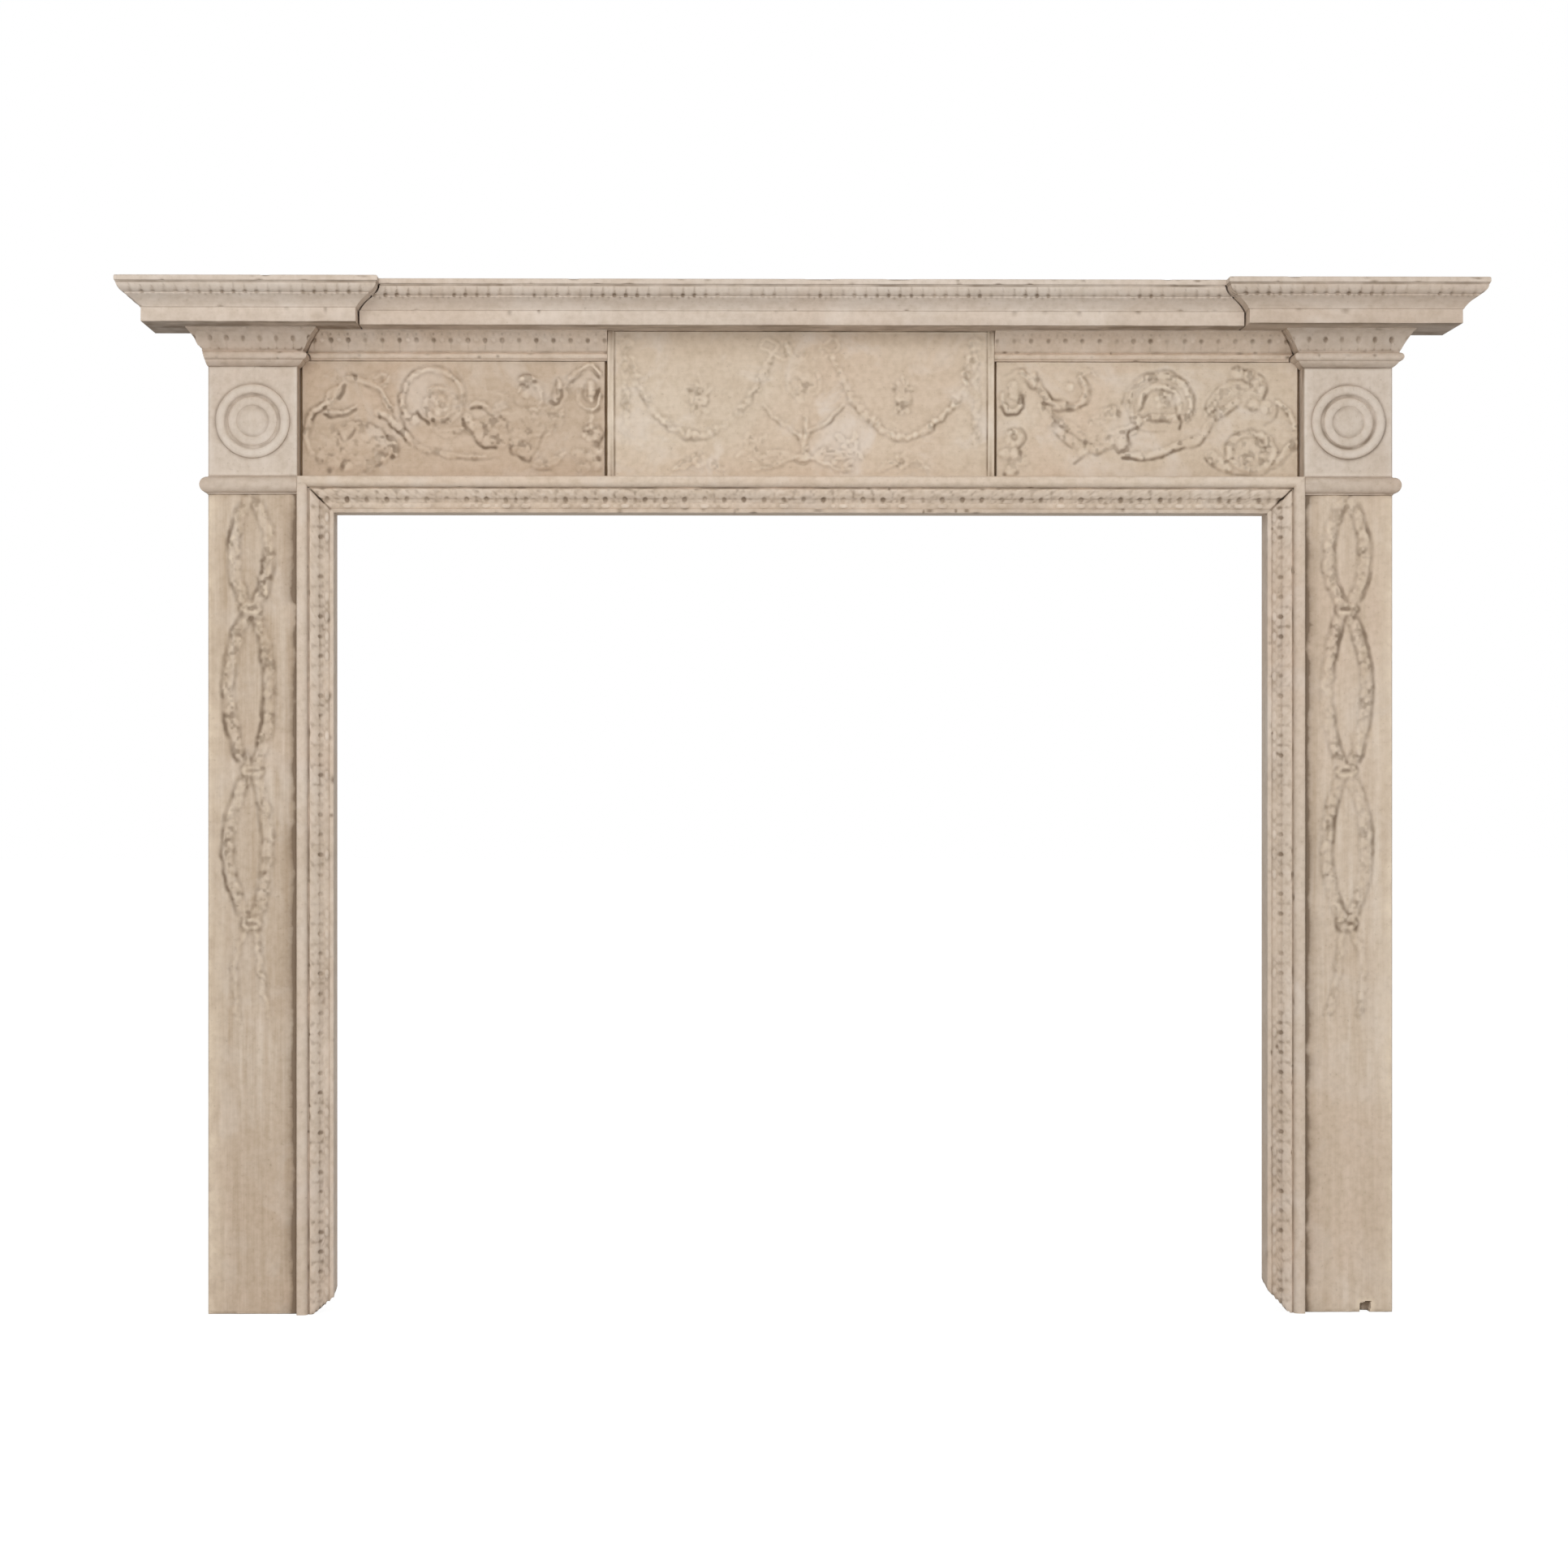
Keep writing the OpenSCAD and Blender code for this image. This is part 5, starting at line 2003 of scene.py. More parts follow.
@dataclass
class Block(CarvedBoard):
    """The plain block over a pilaster."""

    def carve(self) -> ReliefField:
        """Gives the block's plain face."""
        width = self.layout.pilaster_out - self.layout.pilaster_in
        return ReliefField(width, self.layout.capital_z - self.layout.frieze_z, 2.0)

    def edge_shade_and_dirt(self, face: ReliefField) -> Array:
        """Paints shade round the roundel's foot and under the capital."""
        u, v = face.u[None, :] - face.width / 2, face.v[:, None] - face.tall / 2
        ring = np.exp(-((np.hypot(u, v) - Roundel.radius) / 2.6) ** 2)
        top = np.exp(-((face.tall - face.v) / 3.0) ** 2)[:, None]
        return 0.6 * ring + 0.5 * top


@dataclass
class Roundel(Piece):
    """A turned roundel: a broad outer ring, a groove, an inner ring and a dished middle."""

    side: Side = Side.LEFT
    radius: float = 49.5
    height: float = 6.5
    spokes: int = 150

    def section(self) -> list[tuple[float, float, float]]:
        """Gives the turned section from the middle out, as radius, height and the painted shade in its grooves and
        round its foot.
        """
        r, h = self.radius, self.height
        points = [(0.02, h * 0.62, 0.0), (r * 0.12, h * 0.61, 0.0), (r * 0.24, h * 0.57, 0.0),
                  (r * 0.33, h * 0.5, 0.1), (r * 0.38, h * 0.36, 0.4), (r * 0.41, h * 0.3, 0.55)]
        for i in range(11):
            turn = math.pi * i / 10
            points.append((r * (0.54 - 0.115 * math.cos(turn)), h * (0.36 + 0.34 * math.sin(turn)),
                           0.3 * (i in (0, 10))))
        points += [(r * 0.665, h * 0.42, 0.55), (r * 0.69, h * 0.25, 0.95), (r * 0.72, h * 0.25, 0.95),
                   (r * 0.74, h * 0.44, 0.5)]
        for i in range(13):
            turn = math.pi * i / 12
            points.append((r * (0.87 - 0.12 * math.cos(turn)), h * (0.5 + 0.44 * math.sin(turn)),
                           0.3 * (i in (0, 12))))
        points += [(r * 0.998, h * 0.25, 0.7), (r, 0.0, 0.9)]
        return points

    def shape(self) -> Object:
        """Makes the roundel's mesh object."""
        section = np.array(self.section())
        radii, heights, shade_and_dirt = section[:, 0], section[:, 1], section[:, 2]
        angle = np.linspace(0, math.tau, self.spokes, endpoint=False)[:, None]
        uneven = patchy(self.spokes, len(radii), 16, 6, 31 if self.side is Side.LEFT else 37)
        rise = heights[None, :] + 0.14 * uneven
        if self.side is Side.RIGHT:
            for aim, at, wide, deep in ((225, 24, 11, 1.5), (205, 30, 8, 1.3), (250, 21, 6, 1.0)):
                gap = np.hypot(radii * np.cos(angle) - at * math.cos(math.radians(aim)),
                               radii * np.sin(angle) - at * math.sin(math.radians(aim)))
                rise = rise - deep * np.exp(-(gap / wide) ** 4)
        rise[:, -1] = 0
        centre_x = self.side.value * (self.layout.pilaster_in + self.layout.pilaster_out) / 2
        centre_z = (self.layout.frieze_z + self.layout.capital_z) / 2
        x = centre_x + radii[None, :] * np.cos(angle)
        z = centre_z + radii[None, :] * np.sin(angle)
        # Painted shade in the grooves and round the foot, made patchy.
        hollow = np.clip(shade_and_dirt[None, :] * (0.8 + 0.3 * uneven), 0, 1)
        crest = np.clip((rise / self.height - 0.8) * 3, 0, 0.6)
        draft = MeshDraft(self.layout)
        numbers = draft.add_points(x, self.layout.pilaster_d + np.clip(rise, 0, self.height), z, hollow, crest)
        draft.add_grid(np.vstack([numbers, numbers[:1]]), flip=True)
        draft.add_polygon(numbers[:, 0])
        draft.add_polygon(numbers[:, -1], flip=True)
        return draft.build(self.node + ".turned", 50)


@dataclass
class MouldedPiece(Piece):
    """A piece made of one swept moulding. A left-hand one mirrors the right-hand one's path."""

    side: Side | None = None
    seed: int = 1

    @abstractmethod
    def sweep(self) -> Sweep:
        """Gives the moulding for the right-hand side or the middle."""

    def shape(self) -> Object:
        """Makes the moulding's mesh object."""
        sweep = self.sweep()
        if self.side is Side.LEFT:
            sweep.knots = [Knot(-k.x, k.forward, self.mirrored(k.shift)) for k in sweep.knots[::-1]]
            sweep.closing = [(-x, forward) for x, forward in sweep.closing[::-1]]
        draft = MeshDraft(self.layout)
        sweep.draw(draft)
        return draft.build(self.node + ".moulding")

    @staticmethod
    def mirrored(shift: Shift) -> Shift:
        """Gives the rule of a corner turned left for right.

        Args:
            shift: The rule of the right-hand corner.

        Returns:
            The rule of the left-hand corner.
        """
        def turned(out: Array, up: Array) -> tuple[Array, Array]:
            """Gives the growth with x turned over."""
            x, forward = shift(out, up)
            return -x, forward
        return turned


def cornice_profile(layout: Layout) -> Profile:
    """Draws the cornice: fascia, fillet, cavetto, drilled groove, leaf ovolo and quirk.

    Args:
        layout: The layout.

    Returns:
        The profile, out from the fascia.
    """
    foot, top = layout.cornice_z, layout.shelf_z
    crown = top - CROWN_HEIGHT
    # The third figure is painted shade: darkest on the soffit under the fascia, lighter in the quirks, strong again
    # under the shelf's lip.
    return (Profile().start(0, foot, 0.75).line(0.1, foot + 0.9, 1, 0.1).line(0, crown - 1.4, 5)
            .line(0.3, crown - 0.4, 1).line(1.7, crown + 0.4, 2, 0.22)
            .line(2.0, crown + 1.4, 1).quarter(16.6, crown + 14.4, 9, True, 0.0, 0.3)
            .line(18.2, crown + 15.4, 2, 0.2).line(18.8, crown + 17.2, 2, 0.2)
            .quarter(28.4, crown + 28.0, 11, False, 0.1, 0.6).line(28.6, crown + 29.0, 1, 0.5)
            .line(CROWN_PROJECTION - 0.4, crown + 29.8, 1, 0.55).line(CROWN_PROJECTION, top, 1, 0.5))


def cornice_carving(layout: Layout, seed: int) -> Carve:
    """Carves the cornice's leaf band and its row of drilled dots.

    Args:
        layout: The layout.
        seed: Seed of the wear.

    Returns:
        The rule that gives the rise.
    """
    crown = layout.shelf_z - CROWN_HEIGHT
    leaves, dots = Carving(CORNICE_LEAF), Carving(CORNICE_LEAF, CORNICE_LEAF / 2)

    def carve(run: Array, out: Array, up: Array) -> Array:
        """Gives the cornice's rise."""
        worn = np.clip(0.66 + 0.6 * patchy(run.shape[0], up.shape[1], run.shape[0] / 14, 2, seed + 40), 0.05, 1.1)
        rise = leaves.leaves(run, up, crown + 28.2, crown + 17.4, 0.75, 0.2) * worn
        rise = rise + dots.drills(run, up, crown + 17.0, 2.3, 1.7) * worn
        return rise + leaves.drills(run, up, crown + 14.6, 1.5, 0.5, 1.2) * worn
    return carve


@dataclass
class CorniceCentre(MouldedPiece):
    """The middle length of the cornice, coped against the breakfront ends."""

    def sweep(self) -> Sweep:
        """Gives the moulding between the two breakfront ends."""
        lay = self.layout
        edge, front = lay.corona_in - lay.mitre_gap, lay.corona_mid_d
        return Sweep(cornice_profile(lay), [Knot(-edge, front, mitre(1, 1)), Knot(edge, front, mitre(-1, 1))],
                     [], step=1.7, carve=cornice_carving(lay, self.seed), seed=self.seed, to_wall=True)


@dataclass
class CorniceEnd(MouldedPiece):
    """A breakfront end of the cornice, returned to the wall on both sides."""

    def sweep(self) -> Sweep:
        """Gives the moulding round the end."""
        lay = self.layout
        inner, outer, front = lay.corona_in, lay.corona_out, lay.corona_d
        knots = [Knot(inner, 0, mitre(-1, 0)), Knot(inner, front, mitre(-1, 1)),
                 Knot(outer, front, mitre(1, 1)), Knot(outer, 0, mitre(1, 0))]
        return Sweep(cornice_profile(lay), knots, [], step=1.7, carve=cornice_carving(lay, self.seed), seed=self.seed)


@dataclass
class ShelfBoard(MouldedPiece):
    """The thin shelf board that covers the whole cornice."""

    chips: tuple[Point, ...] = ((22.0, 16.0), (126.0, 15.0), (-300.0, 6.0), (640.0, 7.0), (-700.0, 5.0))

    def sweep(self) -> Sweep:
        """Gives the board's edge round its breakfront outline."""
        lay = self.layout
        z0, z1 = lay.shelf_z, lay.top_z
        edge = (Profile().start(-2.2, z0, 0.4).line(-0.5, z0 + 0.4, 1, 0.3).line(0, z0 + 1.4, 1)
                .line(0, z1 - 2.2, 4).line(-0.35, z1 - 0.8, 1).line(-1.1, z1 - 0.2, 1).line(-2.4, z1, 1)
                .line(-9, z1, 2))
        inner, outer, front, mid = lay.shelf_in, lay.shelf_out, lay.shelf_d, lay.shelf_mid_d
        knots = [Knot(-outer, 0, mitre(-1, 0)), Knot(-outer, front, mitre(-1, 1)), Knot(-inner, front, mitre(1, 1)),
                 Knot(-inner, mid, mitre(1, 1)), Knot(inner, mid, mitre(-1, 1)), Knot(inner, front, mitre(-1, 1)),
                 Knot(outer, front, mitre(1, 1)), Knot(outer, 0, mitre(1, 0))]
        return Sweep(edge, knots, [], step=3.0, carve=self.knock, seed=self.seed, wear=0.12, nick_every=45)

    def knock(self, run: Array, out: Array, up: Array) -> Array:
        """Knocks the larger chips out of the board's front edge."""
        high = np.clip((up - self.layout.shelf_z) / (self.layout.top_z - self.layout.shelf_z), 0, 1)
        rise = np.zeros(np.broadcast(run, up).shape)
        if run.max() - run.min() < 200:
            return rise
        for at, size in self.chips:
            rise -= 1.7 * np.exp(-((run - at) / size) ** 4) * high ** 3 * (out > -4)
        return rise


def capital_profile(layout: Layout) -> Profile:
    """Draws the capital: cavetto, torus, cove and top fillet.

    Args:
        layout: The layout.

    Returns:
        The profile, out from the block's face.
    """
    z = layout.capital_z
    return (Profile().start(0, z, 0.55).line(0.8, z + 0.5, 1, 0.35).quarter(7.8, z + 7.2, 6, False, 0.05, 0.3)
            .line(8.2, z + 8.2, 1, 0.25).bead(8.2, z + 19.4, 5.4, 12).line(8.6, z + 20.8, 2, 0.45)
            .line(9.4, z + 22.0, 1, 0.25).quarter(25.8, z + 47.4, 19, True, 0.05, 0.22)
            .line(26.8, z + 48.2, 1, 0.0).line(27.0, z + 50.0, 1, 0.1))


def capital_carving(phase: float, seed: int) -> Callable[[float], Carve]:
    """Prepares the capital's row of drilled leaves.

    Args:
        phase: Where along the run the first leaf stands.
        seed: Seed of the wear.

    Returns:
        A function that takes the capital's foot level and gives the rule for the rise.
    """
    def at_level(z: float) -> Carve:
        """Gives the rule for a capital whose foot is at this level."""
        leaves, darts = Carving(CAPITAL_LEAF, phase), Carving(CAPITAL_LEAF, phase + CAPITAL_LEAF / 2)

        def carve(run: Array, out: Array, up: Array) -> Array:
            """Gives the capital's rise."""
            worn = np.clip(0.7 + 0.55 * patchy(run.shape[0], up.shape[1], run.shape[0] / 12, 2, seed + 50), 0.1, 1.2)
            deep = worn * (1.25 if seed % 2 else 0.8)
            rise = leaves.leaves(run, up, z + 23.0, z + 44.0, 0.7, 0.2) * worn
            rise = rise + darts.drills(run, up, z + 35.0, 2.7, 2.2, 1.25) * deep
            return rise + Carving(CAPITAL_LEAF / 2, phase).drills(run, up, z + 22.8, 1.5, 0.7, 1.0) * worn
        return carve
    return at_level


@dataclass
class Capital(MouldedPiece):
    """The carved cap over a pilaster's block, returned on both sides."""

    def sweep(self) -> Sweep:
        """Gives the moulding round the block's top."""
        lay = self.layout
        inner, outer, front = lay.pilaster_in, lay.pilaster_out, lay.pilaster_d
        knots = [Knot(inner, lay.panel_d, mitre(-1, 0)), Knot(inner, front, mitre(-1, 1)),
                 Knot(outer, front, mitre(1, 1)), Knot(outer, lay.backing_d, mitre(1, 0))]
        middle = (inner + outer) / 2
        carve = capital_carving(middle if self.side is Side.RIGHT else -middle, self.seed)(lay.capital_z)
        return Sweep(capital_profile(lay), knots, [(inner, lay.backing_d)], step=1.2, carve=carve, seed=self.seed,
                     wear=0.3, nick_every=16, broken=self.break_corner if self.side is Side.LEFT else None)

    def break_corner(self, x: Array, forward: Array, up: Array) -> Array:
        """Breaks the torus off the left capital's outer front corner.

        Args:
            x: Distances from the centre.
            forward: Distances from the wall.
            up: Levels.

        Returns:
            The distances from the centre line, drawn in at the break.
        """
        lay = self.layout
        lift = up - lay.capital_z
        allowed = lay.pilaster_out + 1.5 + 0.27 * lift + 0.5 * np.sin(lift * 1.9 + forward * 0.7)
        allowed = allowed + 0.13 * np.clip(lay.pilaster_d - 12 - forward, 0, None)
        return np.where(lift < 26, np.maximum(x, -allowed), x)


@dataclass
class BedMoulding(MouldedPiece):
    """The carved length under the cornice, coped against the capital and butted at the tablet."""

    def sweep(self) -> Sweep:
        """Gives the moulding from the tablet to the capital."""
        lay = self.layout
        capital = capital_profile(lay)
        gap = lay.mitre_gap

        def cope(out: Array, up: Array) -> tuple[Array, Array]:
            """Draws the end back to the capital's own profile."""
            return -np.interp(up, capital.up, capital.out), out

        knots = [Knot(lay.tablet, lay.panel_d, mitre(0, 1)), Knot(lay.pilaster_in - gap, lay.panel_d, cope)]
        closing = [(lay.pilaster_in - gap, lay.backing_d), (lay.tablet, lay.backing_d)]
        return Sweep(self.profile(), knots, closing, step=1.3, carve=self.carve, seed=self.seed, wear=0.25,
                     nick_every=30)

    def profile(self) -> Profile:
        """Draws the bed moulding: a fillet, a small torus and a tall cove."""
        z = self.layout.bed_z
        return (Profile().start(0, z, 0.6).line(2.6, z + 0.2, 1, 0.4).line(3.0, z + 1.6, 1, 0.0)
                .bead(4.0, z + 10.2, 4.6, 9).line(4.6, z + 11.2, 1, 0.3).line(6.0, z + 12.2, 1, 0.2)
                .quarter(25.6, z + 36.4, 18, True, 0.05, 0.22).line(26.8, z + 37.2, 1, 0.0)
                .line(27.0, z + 39.0, 1, 0.1))

    def carve(self, run: Array, out: Array, up: Array) -> Array:
        """Carves the cove's leaves and drilled dots."""
        z = self.layout.bed_z
        leaves, dots = Carving(BED_LEAF), Carving(BED_LEAF, BED_LEAF / 2)
        strong = 0.85 if self.side is Side.LEFT else 0.5
        worn = strong + 0.5 * patchy(run.shape[0], up.shape[1], run.shape[0] / 12, 2, self.seed + 50)
        worn = np.clip(worn, 0.05, 1.2)
        rise = leaves.leaves(run, up, z + 13.6, z + 34.5, 0.6, 0.15) * worn
        rise = rise + dots.drills(run, up, z + 25.4, 3.0, 2.3, 0.95) * worn
        rise = rise + leaves.beads(run, up, z + 26.2, 2.8, 3.2, 0.9) * worn
        return rise + Carving(BED_LEAF / 2).drills(run, up, z + 33.0, 1.5, 0.5) * worn


@dataclass
class NeckMoulding(MouldedPiece):
    """The half-round moulding between a pilaster and its block."""

    def sweep(self) -> Sweep:
        """Gives the moulding along the front and round the outer side."""
        lay = self.layout
        z0, z1 = lay.neck_z, lay.frieze_z
        proud = lay.neck_d - lay.pilaster_d
        profile = (Profile().start(0, z0, 0.5).line(1.3, z0 + 0.1, 1, 0.4).line(1.5, z0 + 2.0, 1, 0.55)
                   .bead(1.5, z1 - 1.0, proud - 1.6, 16).line(0.6, z1 - 0.8, 1, 0.35).line(0, z1, 1, 0.2))
        knots = [Knot(lay.pilaster_in, lay.pilaster_d, mitre(0, 1)),
                 Knot(lay.pilaster_out, lay.pilaster_d, mitre(1, 1)), Knot(lay.pilaster_out, 0, mitre(1, 0))]
        return Sweep(profile, knots, [(lay.pilaster_in, 0)], step=2.0, seed=self.seed, wear=0.35, nick_every=24)


@dataclass
class SurroundLength(Piece):
    """One mitred length of the moulding round the opening.

    Args:
        side: The side it stands on, or None for the length over the opening.
        chip: Height of the broken corner at its foot.
        seed: Seed of its wear.
    """

    side: Side | None = None
    chip: float = 0.0
    seed: int = 1
    step: float = 1.35

    def section(self) -> Profile:
        """Draws the section: out is the distance from the wall, up is that from the opening."""
        lay = self.layout
        w = lay.pilaster_in - lay.opening
        face, peak = lay.pilaster_d, lay.surround_d
        fillet = face - 4
        dust = 0.3 if self.side is None else 0.0
        return (Profile().start(0, 0, 0.0).line(fillet - 0.8, 0, 4, 0.0).line(fillet, 0.8, 1, dust)
                .line(fillet, 5.2, 2, dust).line(fillet - 2, 5.8, 1, 0.4).line(fillet - 2, 12.8, 7, 0.15)
                .line(fillet - 1.4, 13.8, 1, 0.15).line(fillet + 1.0, 17.6, 3, 0.22)
                .quarter(face + 5.8, 30.0, 11, False, 0.0, 0.45).line(face + 5.9, 31.0, 1, 0.05)
                .line(face + 3.8, 31.8, 1, 0.7).line(face + 3.9, 32.8, 1, 0.7).line(face + 5.6, 33.2, 1, 0.1)
                .quarter(peak - 0.2, w - 7.0, 9, False, 0.0).line(peak - 0.1, w - 3.6, 2)
                .quarter(peak - 2.4, w - 0.2, 3, True).line(face, w, 3, 0.4).line(0, w, 2, 0.2))

    def carve(self, run: Array, w: Array) -> Array:
        """Carves the pearls, the drilled dots and the leaf band.

        Args:
            run: Distance along the length.
            w: Distance from the opening.

        Returns:
            The rise.
        """
        band, between = Carving(SURROUND_LEAF, 3.0), Carving(SURROUND_LEAF, 16.2)
        rows, columns = np.broadcast(run, w).shape
        worn = np.clip(0.6 + 0.8 * patchy(rows, columns, rows / 20, 1, self.seed + 60), 0.1, 1)
        fine = np.clip(0.75 + 0.5 * patchy(rows, columns, rows / 7, 2, self.seed + 61), 0.2, 1.1)
        rise = band.beads(run, w, 9.4, 3.4, 6.2, 1.5) * worn
        rise = rise + between.beads(run, w, 9.4, 2.6, 3.0, 0.9) * worn * fine
        leg = self.side is not None
        rise = rise + band.drills(run, w, 17.0, 2.8 if leg else 3.1, 1.9 if leg else 2.6, 1.1) * fine
        rise = rise + between.drills(run, w, 16.0, 2.6, 0.9, 1.4) * fine * worn
        speckle = patchy(rows, columns, rows / 3, columns / 3, self.seed + 62) * ((w > 13) & (w < 31))
        rise = rise + (0.3 if leg else 0.45) * speckle
        leaf = band.leaves(run, w, 18.6, 30.6, 0.55, 0.15) * (0.5 + 0.5 * worn)
        return rise + leaf + between.drills(run, w, 26.0, 1.8, 0.35, 1.6) * worn

    def foot_level(self, w: Array, out: Array) -> Array:
        """Gives the level of the length's foot, with its broken corner.

        Args:
            w: Distances from the opening.
            out: Distances from the wall.

        Returns:
            The levels.
        """
        slope = np.clip(1 - w / 28.0, 0, 1)
        ragged = 1.4 * np.sin(w * 1.1 + out * 0.35 + self.seed) * (slope > 0)
        behind = np.clip(1 - out / 50.0, 0, 1) * np.clip(1 - w / 6.0, 0, 1) * 8
        return np.maximum(0, self.chip * slope + ragged * (self.chip > 0) + behind * (self.chip > 0))

    def shape(self) -> Object:
        """Makes the length's mesh object."""
        lay = self.layout
        out, w, shade_and_dirt = self.section().arrays()
        normal_out, normal_w = self.section().normals()
        if self.side is None:
            low, high = -lay.opening - w, lay.opening + w
        else:
            low, high = self.foot_level(w, out), lay.opening_z + w
        samples = int(np.mean(high - low) / self.step)
        t = np.linspace(0, 1, samples)[:, None]
        run = low + (high - low) * t
        rise = wander(run, w, 0.2, self.seed) + self.carve(run, w)
        bend = np.clip(np.abs(np.gradient(np.arctan2(normal_w[0], normal_out[0])))[None, :] / 0.6, 0, 1)
        rise = rise + nicks(run, bend * (out > 40) * (w < 42), 34, 1.2, self.seed + 5)
        rise = rise * (out > 30)
        rise[:, 0] = rise[:, -1] = 0
        hollow, crest = wear_masks(rise, 2, 5, FULL_HOLLOW)
        # Painted shade and grime from the section, in quirks and corners, with patchy strength.
        shade_and_dirt = shade_and_dirt * (0.85 + 0.4 * patchy(*rise.shape, rise.shape[0] / 22, 2, self.seed + 9))
        joint = np.minimum(high - run, run - low if self.side is None else 1e3)
        open_joint = np.exp(-(joint / 1.5) ** 2) * (w > 5) * (w < 33)
        rise = rise - 1.6 * open_joint * (out > 40)
        hollow = np.clip(hollow + shade_and_dirt + open_joint, 0, 1)
        if self.chip:
            hollow = np.clip(hollow + 0.45 * np.exp(-((run - low) / 3.5) ** 2) * (w < 32), 0, 1)
        far = out + rise * normal_out
        wide = w + rise * normal_w
        draft = MeshDraft(lay)
        if self.side is None:
            numbers = draft.add_points(run, far, lay.opening_z + wide, hollow, crest)
        else:
            numbers = draft.add_points(self.side.value * (lay.opening + wide), far, run, hollow, crest)
        flip = self.side is not Side.LEFT
        ring = np.hstack([numbers, numbers[:, :1]])
        draft.add_grid(ring, flip=not flip if self.side is None else flip)
        draft.add_polygon(numbers[0], flip=(self.side is not Side.RIGHT))
        draft.add_polygon(numbers[-1], flip=(self.side is Side.RIGHT))
        return draft.build(self.node + ".moulding")


# The whole mantel


@dataclass
class Mantel:
    """All the pieces of the mantel."""

    layout: Layout
    book: FinishBook

    def pieces(self) -> list[Piece]:
        """Lists every piece from the floor up.

        Returns:
            The pieces, ready to be made.
        """
        lay = self.layout
        found: list[Piece] = [SurroundLength(lay, "surround_top", LINTEL_PINE, None, 0.0, 11)]
        for side in Side:
            found += self.one_side(side)
        found.append(CentreTablet(lay, "centre_tablet", TABLET_PINE, x0=-lay.tablet, z0=lay.frieze_z,
                                  back=lay.backing_d, ground=lay.tablet_d, wear=1.0, keep=0.6, mask_full=0.75))
        found.append(CorniceCentre(lay, "cornice_centre", CORNICE_PINE, None, 21))
        found.append(ShelfBoard(lay, "shelf_board", CORNICE_PINE, None, 91))
        return found

    def one_side(self, side: Side) -> list[Piece]:
        """Lists the pieces of one side.

        Args:
            side: The side.

        Returns:
            Its pieces.
        """
        lay, word, right = self.layout, side.word, side is Side.RIGHT
        x0 = lay.pilaster_in if right else -lay.pilaster_out
        panel_x0 = lay.panel_in if right else -lay.panel_out
        seed = 100 if right else 200
        panel = RightFriezePanel if right else FriezePanel
        garland = {"bows": (22.0, 24.0, 24.0), "leans": (0.0, 0.0, 0.0), "off_middle": 2.0, "rise": 2.5,
                   "stray": 0.9, "gone": 0.12} if right else {}
        return [
            SurroundLength(lay, f"surround_{word}", SURROUND_PINE, side, 30.0 if right else 22.0, seed + 1),
            Pilaster(lay, f"pilaster_{word}", RIGHT_PILASTER_PINE if right else PILASTER_PINE, x0=x0, z0=0,
                     back=0, ground=lay.pilaster_d, wear=0.9, keep=0.45, seed=seed + 2, side=side, **garland),
            NeckMoulding(lay, f"neck_moulding_{word}", CAPITAL_PINE, side, seed + 3),
            Block(lay, f"block_{word}", BLOCK_PINE, x0=x0, z0=lay.frieze_z, back=lay.backing_d,
                  ground=lay.pilaster_d, keep=1.0, seed=seed + 4),
            Roundel(lay, f"roundel_{word}", BLOCK_PINE, side),
            Capital(lay, f"capital_{word}", CAPITAL_PINE, side, seed + 5),
            panel(lay, f"frieze_panel_{word}", TABLET_PINE if right else FRIEZE_PINE, x0=panel_x0, z0=lay.frieze_z,
                  back=lay.backing_d, ground=lay.panel_d, wear=0.8, keep=0.55, seed=seed + 6, side=side),
            BedMoulding(lay, f"bed_moulding_{word}", BED_PINE, side, seed + 7),
            CorniceEnd(lay, f"cornice_{word}", CAPITAL_PINE if right else CORNICE_PINE, side, seed + 8),
        ]

    def build(self) -> None:
        """Makes every piece, and dresses the backing board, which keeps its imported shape."""
        for piece in self.pieces():
            piece.install(self.book)
        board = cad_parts["frieze_backing_board"]
        board.data.materials.clear()
        board.data.materials.append(self.book.material(BACK_PINE))
        LOG.info("frieze_backing_board: dressed as packed")


# Studio


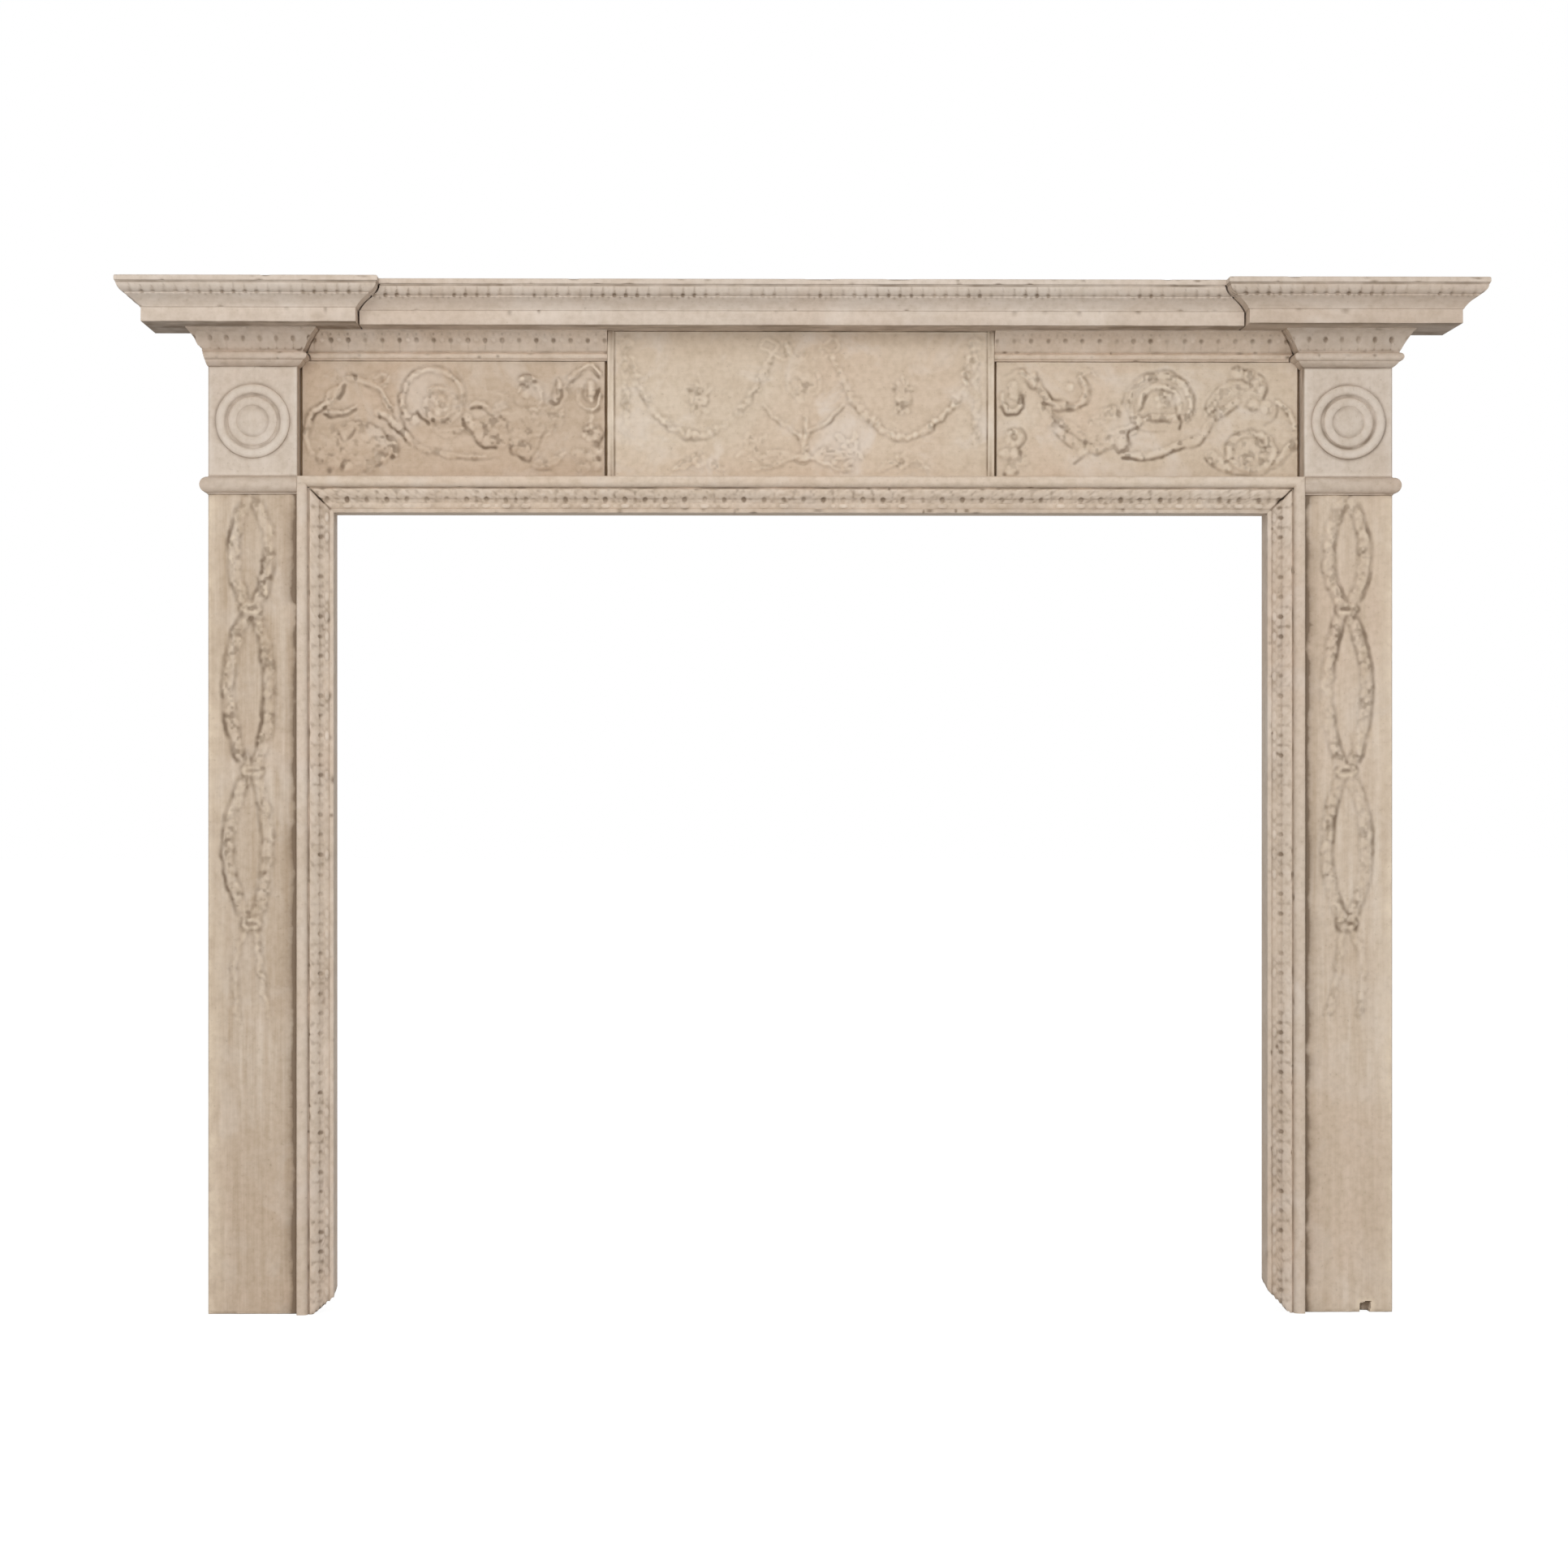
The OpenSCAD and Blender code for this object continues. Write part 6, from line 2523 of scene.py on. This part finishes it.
@dataclass
class Studio:
    """The plain floor, the soft lights and the camera, in metres."""

    view_distance: float = 5.0
    view_height: float = 0.704
    stand_x: float = -0.15
    turn: float = 0.735
    framing: float = 0.03
    lens: float = 86.3
    world_level: float = 0.47
    floor_glow: float = 1.18
    lamps: tuple[tuple[str, tuple[float, float, float], float, float], ...] = (
        ("Key", (-0.9, -3.6, 1.95), 2.2, 56.0),
        ("Fill", (0.9, -4.4, 0.9), 3.0, 48.0),
    )

    @staticmethod
    def seen_rays(sketch: NodeSketch) -> NodeSocket:
        """Gives 1 on the rays that look at the background, straight or by reflection, and 0 on the rest."""
        path = sketch.add("ShaderNodeLightPath")
        seen = sketch.maths("MAXIMUM", path.outputs["Is Camera Ray"], path.outputs["Is Glossy Ray"])
        return sketch.maths("MAXIMUM", seen, path.outputs["Is Transmission Ray"])

    @staticmethod
    def mix(sketch: NodeSketch, parts: Sequence[NodeSocket], output: str) -> None:
        """Wires a share and two shaders, as one mix, to a tree's output node."""
        mixer = sketch.add("ShaderNodeMixShader")
        for socket, part in zip(mixer.inputs, parts):
            sketch.feed(socket, part)
        sketch.feed(sketch.tree.nodes[output].inputs["Surface"], mixer.outputs[0])

    def floor(self) -> None:
        """Lays the pale floor, which shows the object's shadow."""
        mesh = bpy.data.meshes.new("Floor")
        mesh.from_pydata([(-30, -30, 0), (30, -30, 0), (30, 30, 0), (-30, 30, 0)], [], [(0, 1, 2, 3)])
        made = bpy.data.objects.new("Floor", mesh)
        bpy.context.scene.collection.objects.link(made)
        material = bpy.data.materials.new("Pale floor")
        material.use_nodes = True
        tree = material.node_tree
        sketch = NodeSketch(tree)
        shader = tree.nodes["Principled BSDF"]
        shader.inputs["Base Color"].default_value = (0.6, 0.6, 0.6, 1)
        shader.inputs["Roughness"].default_value = 0.95
        seen = self.seen_rays(sketch)
        glow = sketch.add("ShaderNodeEmission", {"Color": (1, 1, 1, 1), "Strength": self.floor_glow})
        self.mix(sketch, (sketch.times(seen, 0.8), shader.outputs[0], glow.outputs[0]), "Material Output")
        mesh.materials.append(material)

    def backdrop(self) -> None:
        """Makes a world that looks white and lights the object evenly."""
        world = bpy.data.worlds.new("Studio")
        bpy.context.scene.world = world
        world.use_nodes = True
        sketch = NodeSketch(world.node_tree)
        seen = self.seen_rays(sketch)
        base = world.node_tree.nodes["Background"]
        base.inputs["Color"].default_value = (1, 1, 1, 1)
        base.inputs["Strength"].default_value = self.world_level
        white = sketch.add("ShaderNodeBackground", {"Color": (1, 1, 1, 1), "Strength": 1.0})
        self.mix(sketch, (seen, base.outputs[0], white.outputs[0]), "World Output")

    def lights(self) -> None:
        """Hangs the soft lamps, each aimed at the mantel's middle."""
        aim = Vector((0.0, 0.0, 0.8))
        for name, place, size, power in self.lamps:
            data = bpy.data.lights.new(name, "AREA")
            data.shape, data.size, data.energy = "DISK", size, power
            made = bpy.data.objects.new(name, data)
            made.location = place
            made.rotation_euler = (aim - Vector(place)).to_track_quat("-Z", "Y").to_euler()
            bpy.context.scene.collection.objects.link(made)

    def camera(self, layout: Layout) -> None:
        """Stands the camera level in front of the mantel, a little to the left.

        Args:
            layout: The layout, for the plane of the pilasters.
        """
        data = bpy.data.cameras.new("View")
        data.lens, data.sensor_width, data.shift_x = self.lens, 36.0, self.framing
        data.clip_start, data.clip_end = 0.05, 200
        made = bpy.data.objects.new("View", data)
        face_y = layout.wall_y - layout.pilaster_d * MM
        made.location = (self.stand_x, face_y - self.view_distance, self.view_height)
        made.rotation_euler = (math.pi / 2, 0, -math.radians(self.turn))
        bpy.context.scene.collection.objects.link(made)
        bpy.context.scene.camera = made

    def build(self, layout: Layout) -> None:
        """Sets up the whole studio.

        Args:
            layout: The layout.
        """
        bpy.context.scene.view_settings.view_transform = "Standard"
        self.floor()
        self.backdrop()
        self.lights()
        self.camera(layout)


def main() -> None:
    """Builds the mantel and its studio."""
    logging.basicConfig(level=logging.INFO, format="%(name)s: %(message)s")
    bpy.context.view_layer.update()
    layout = Layout.from_frame()
    Mantel(layout, FinishBook()).build()
    Studio().build(layout)


if __name__ == "__main__":
    main()
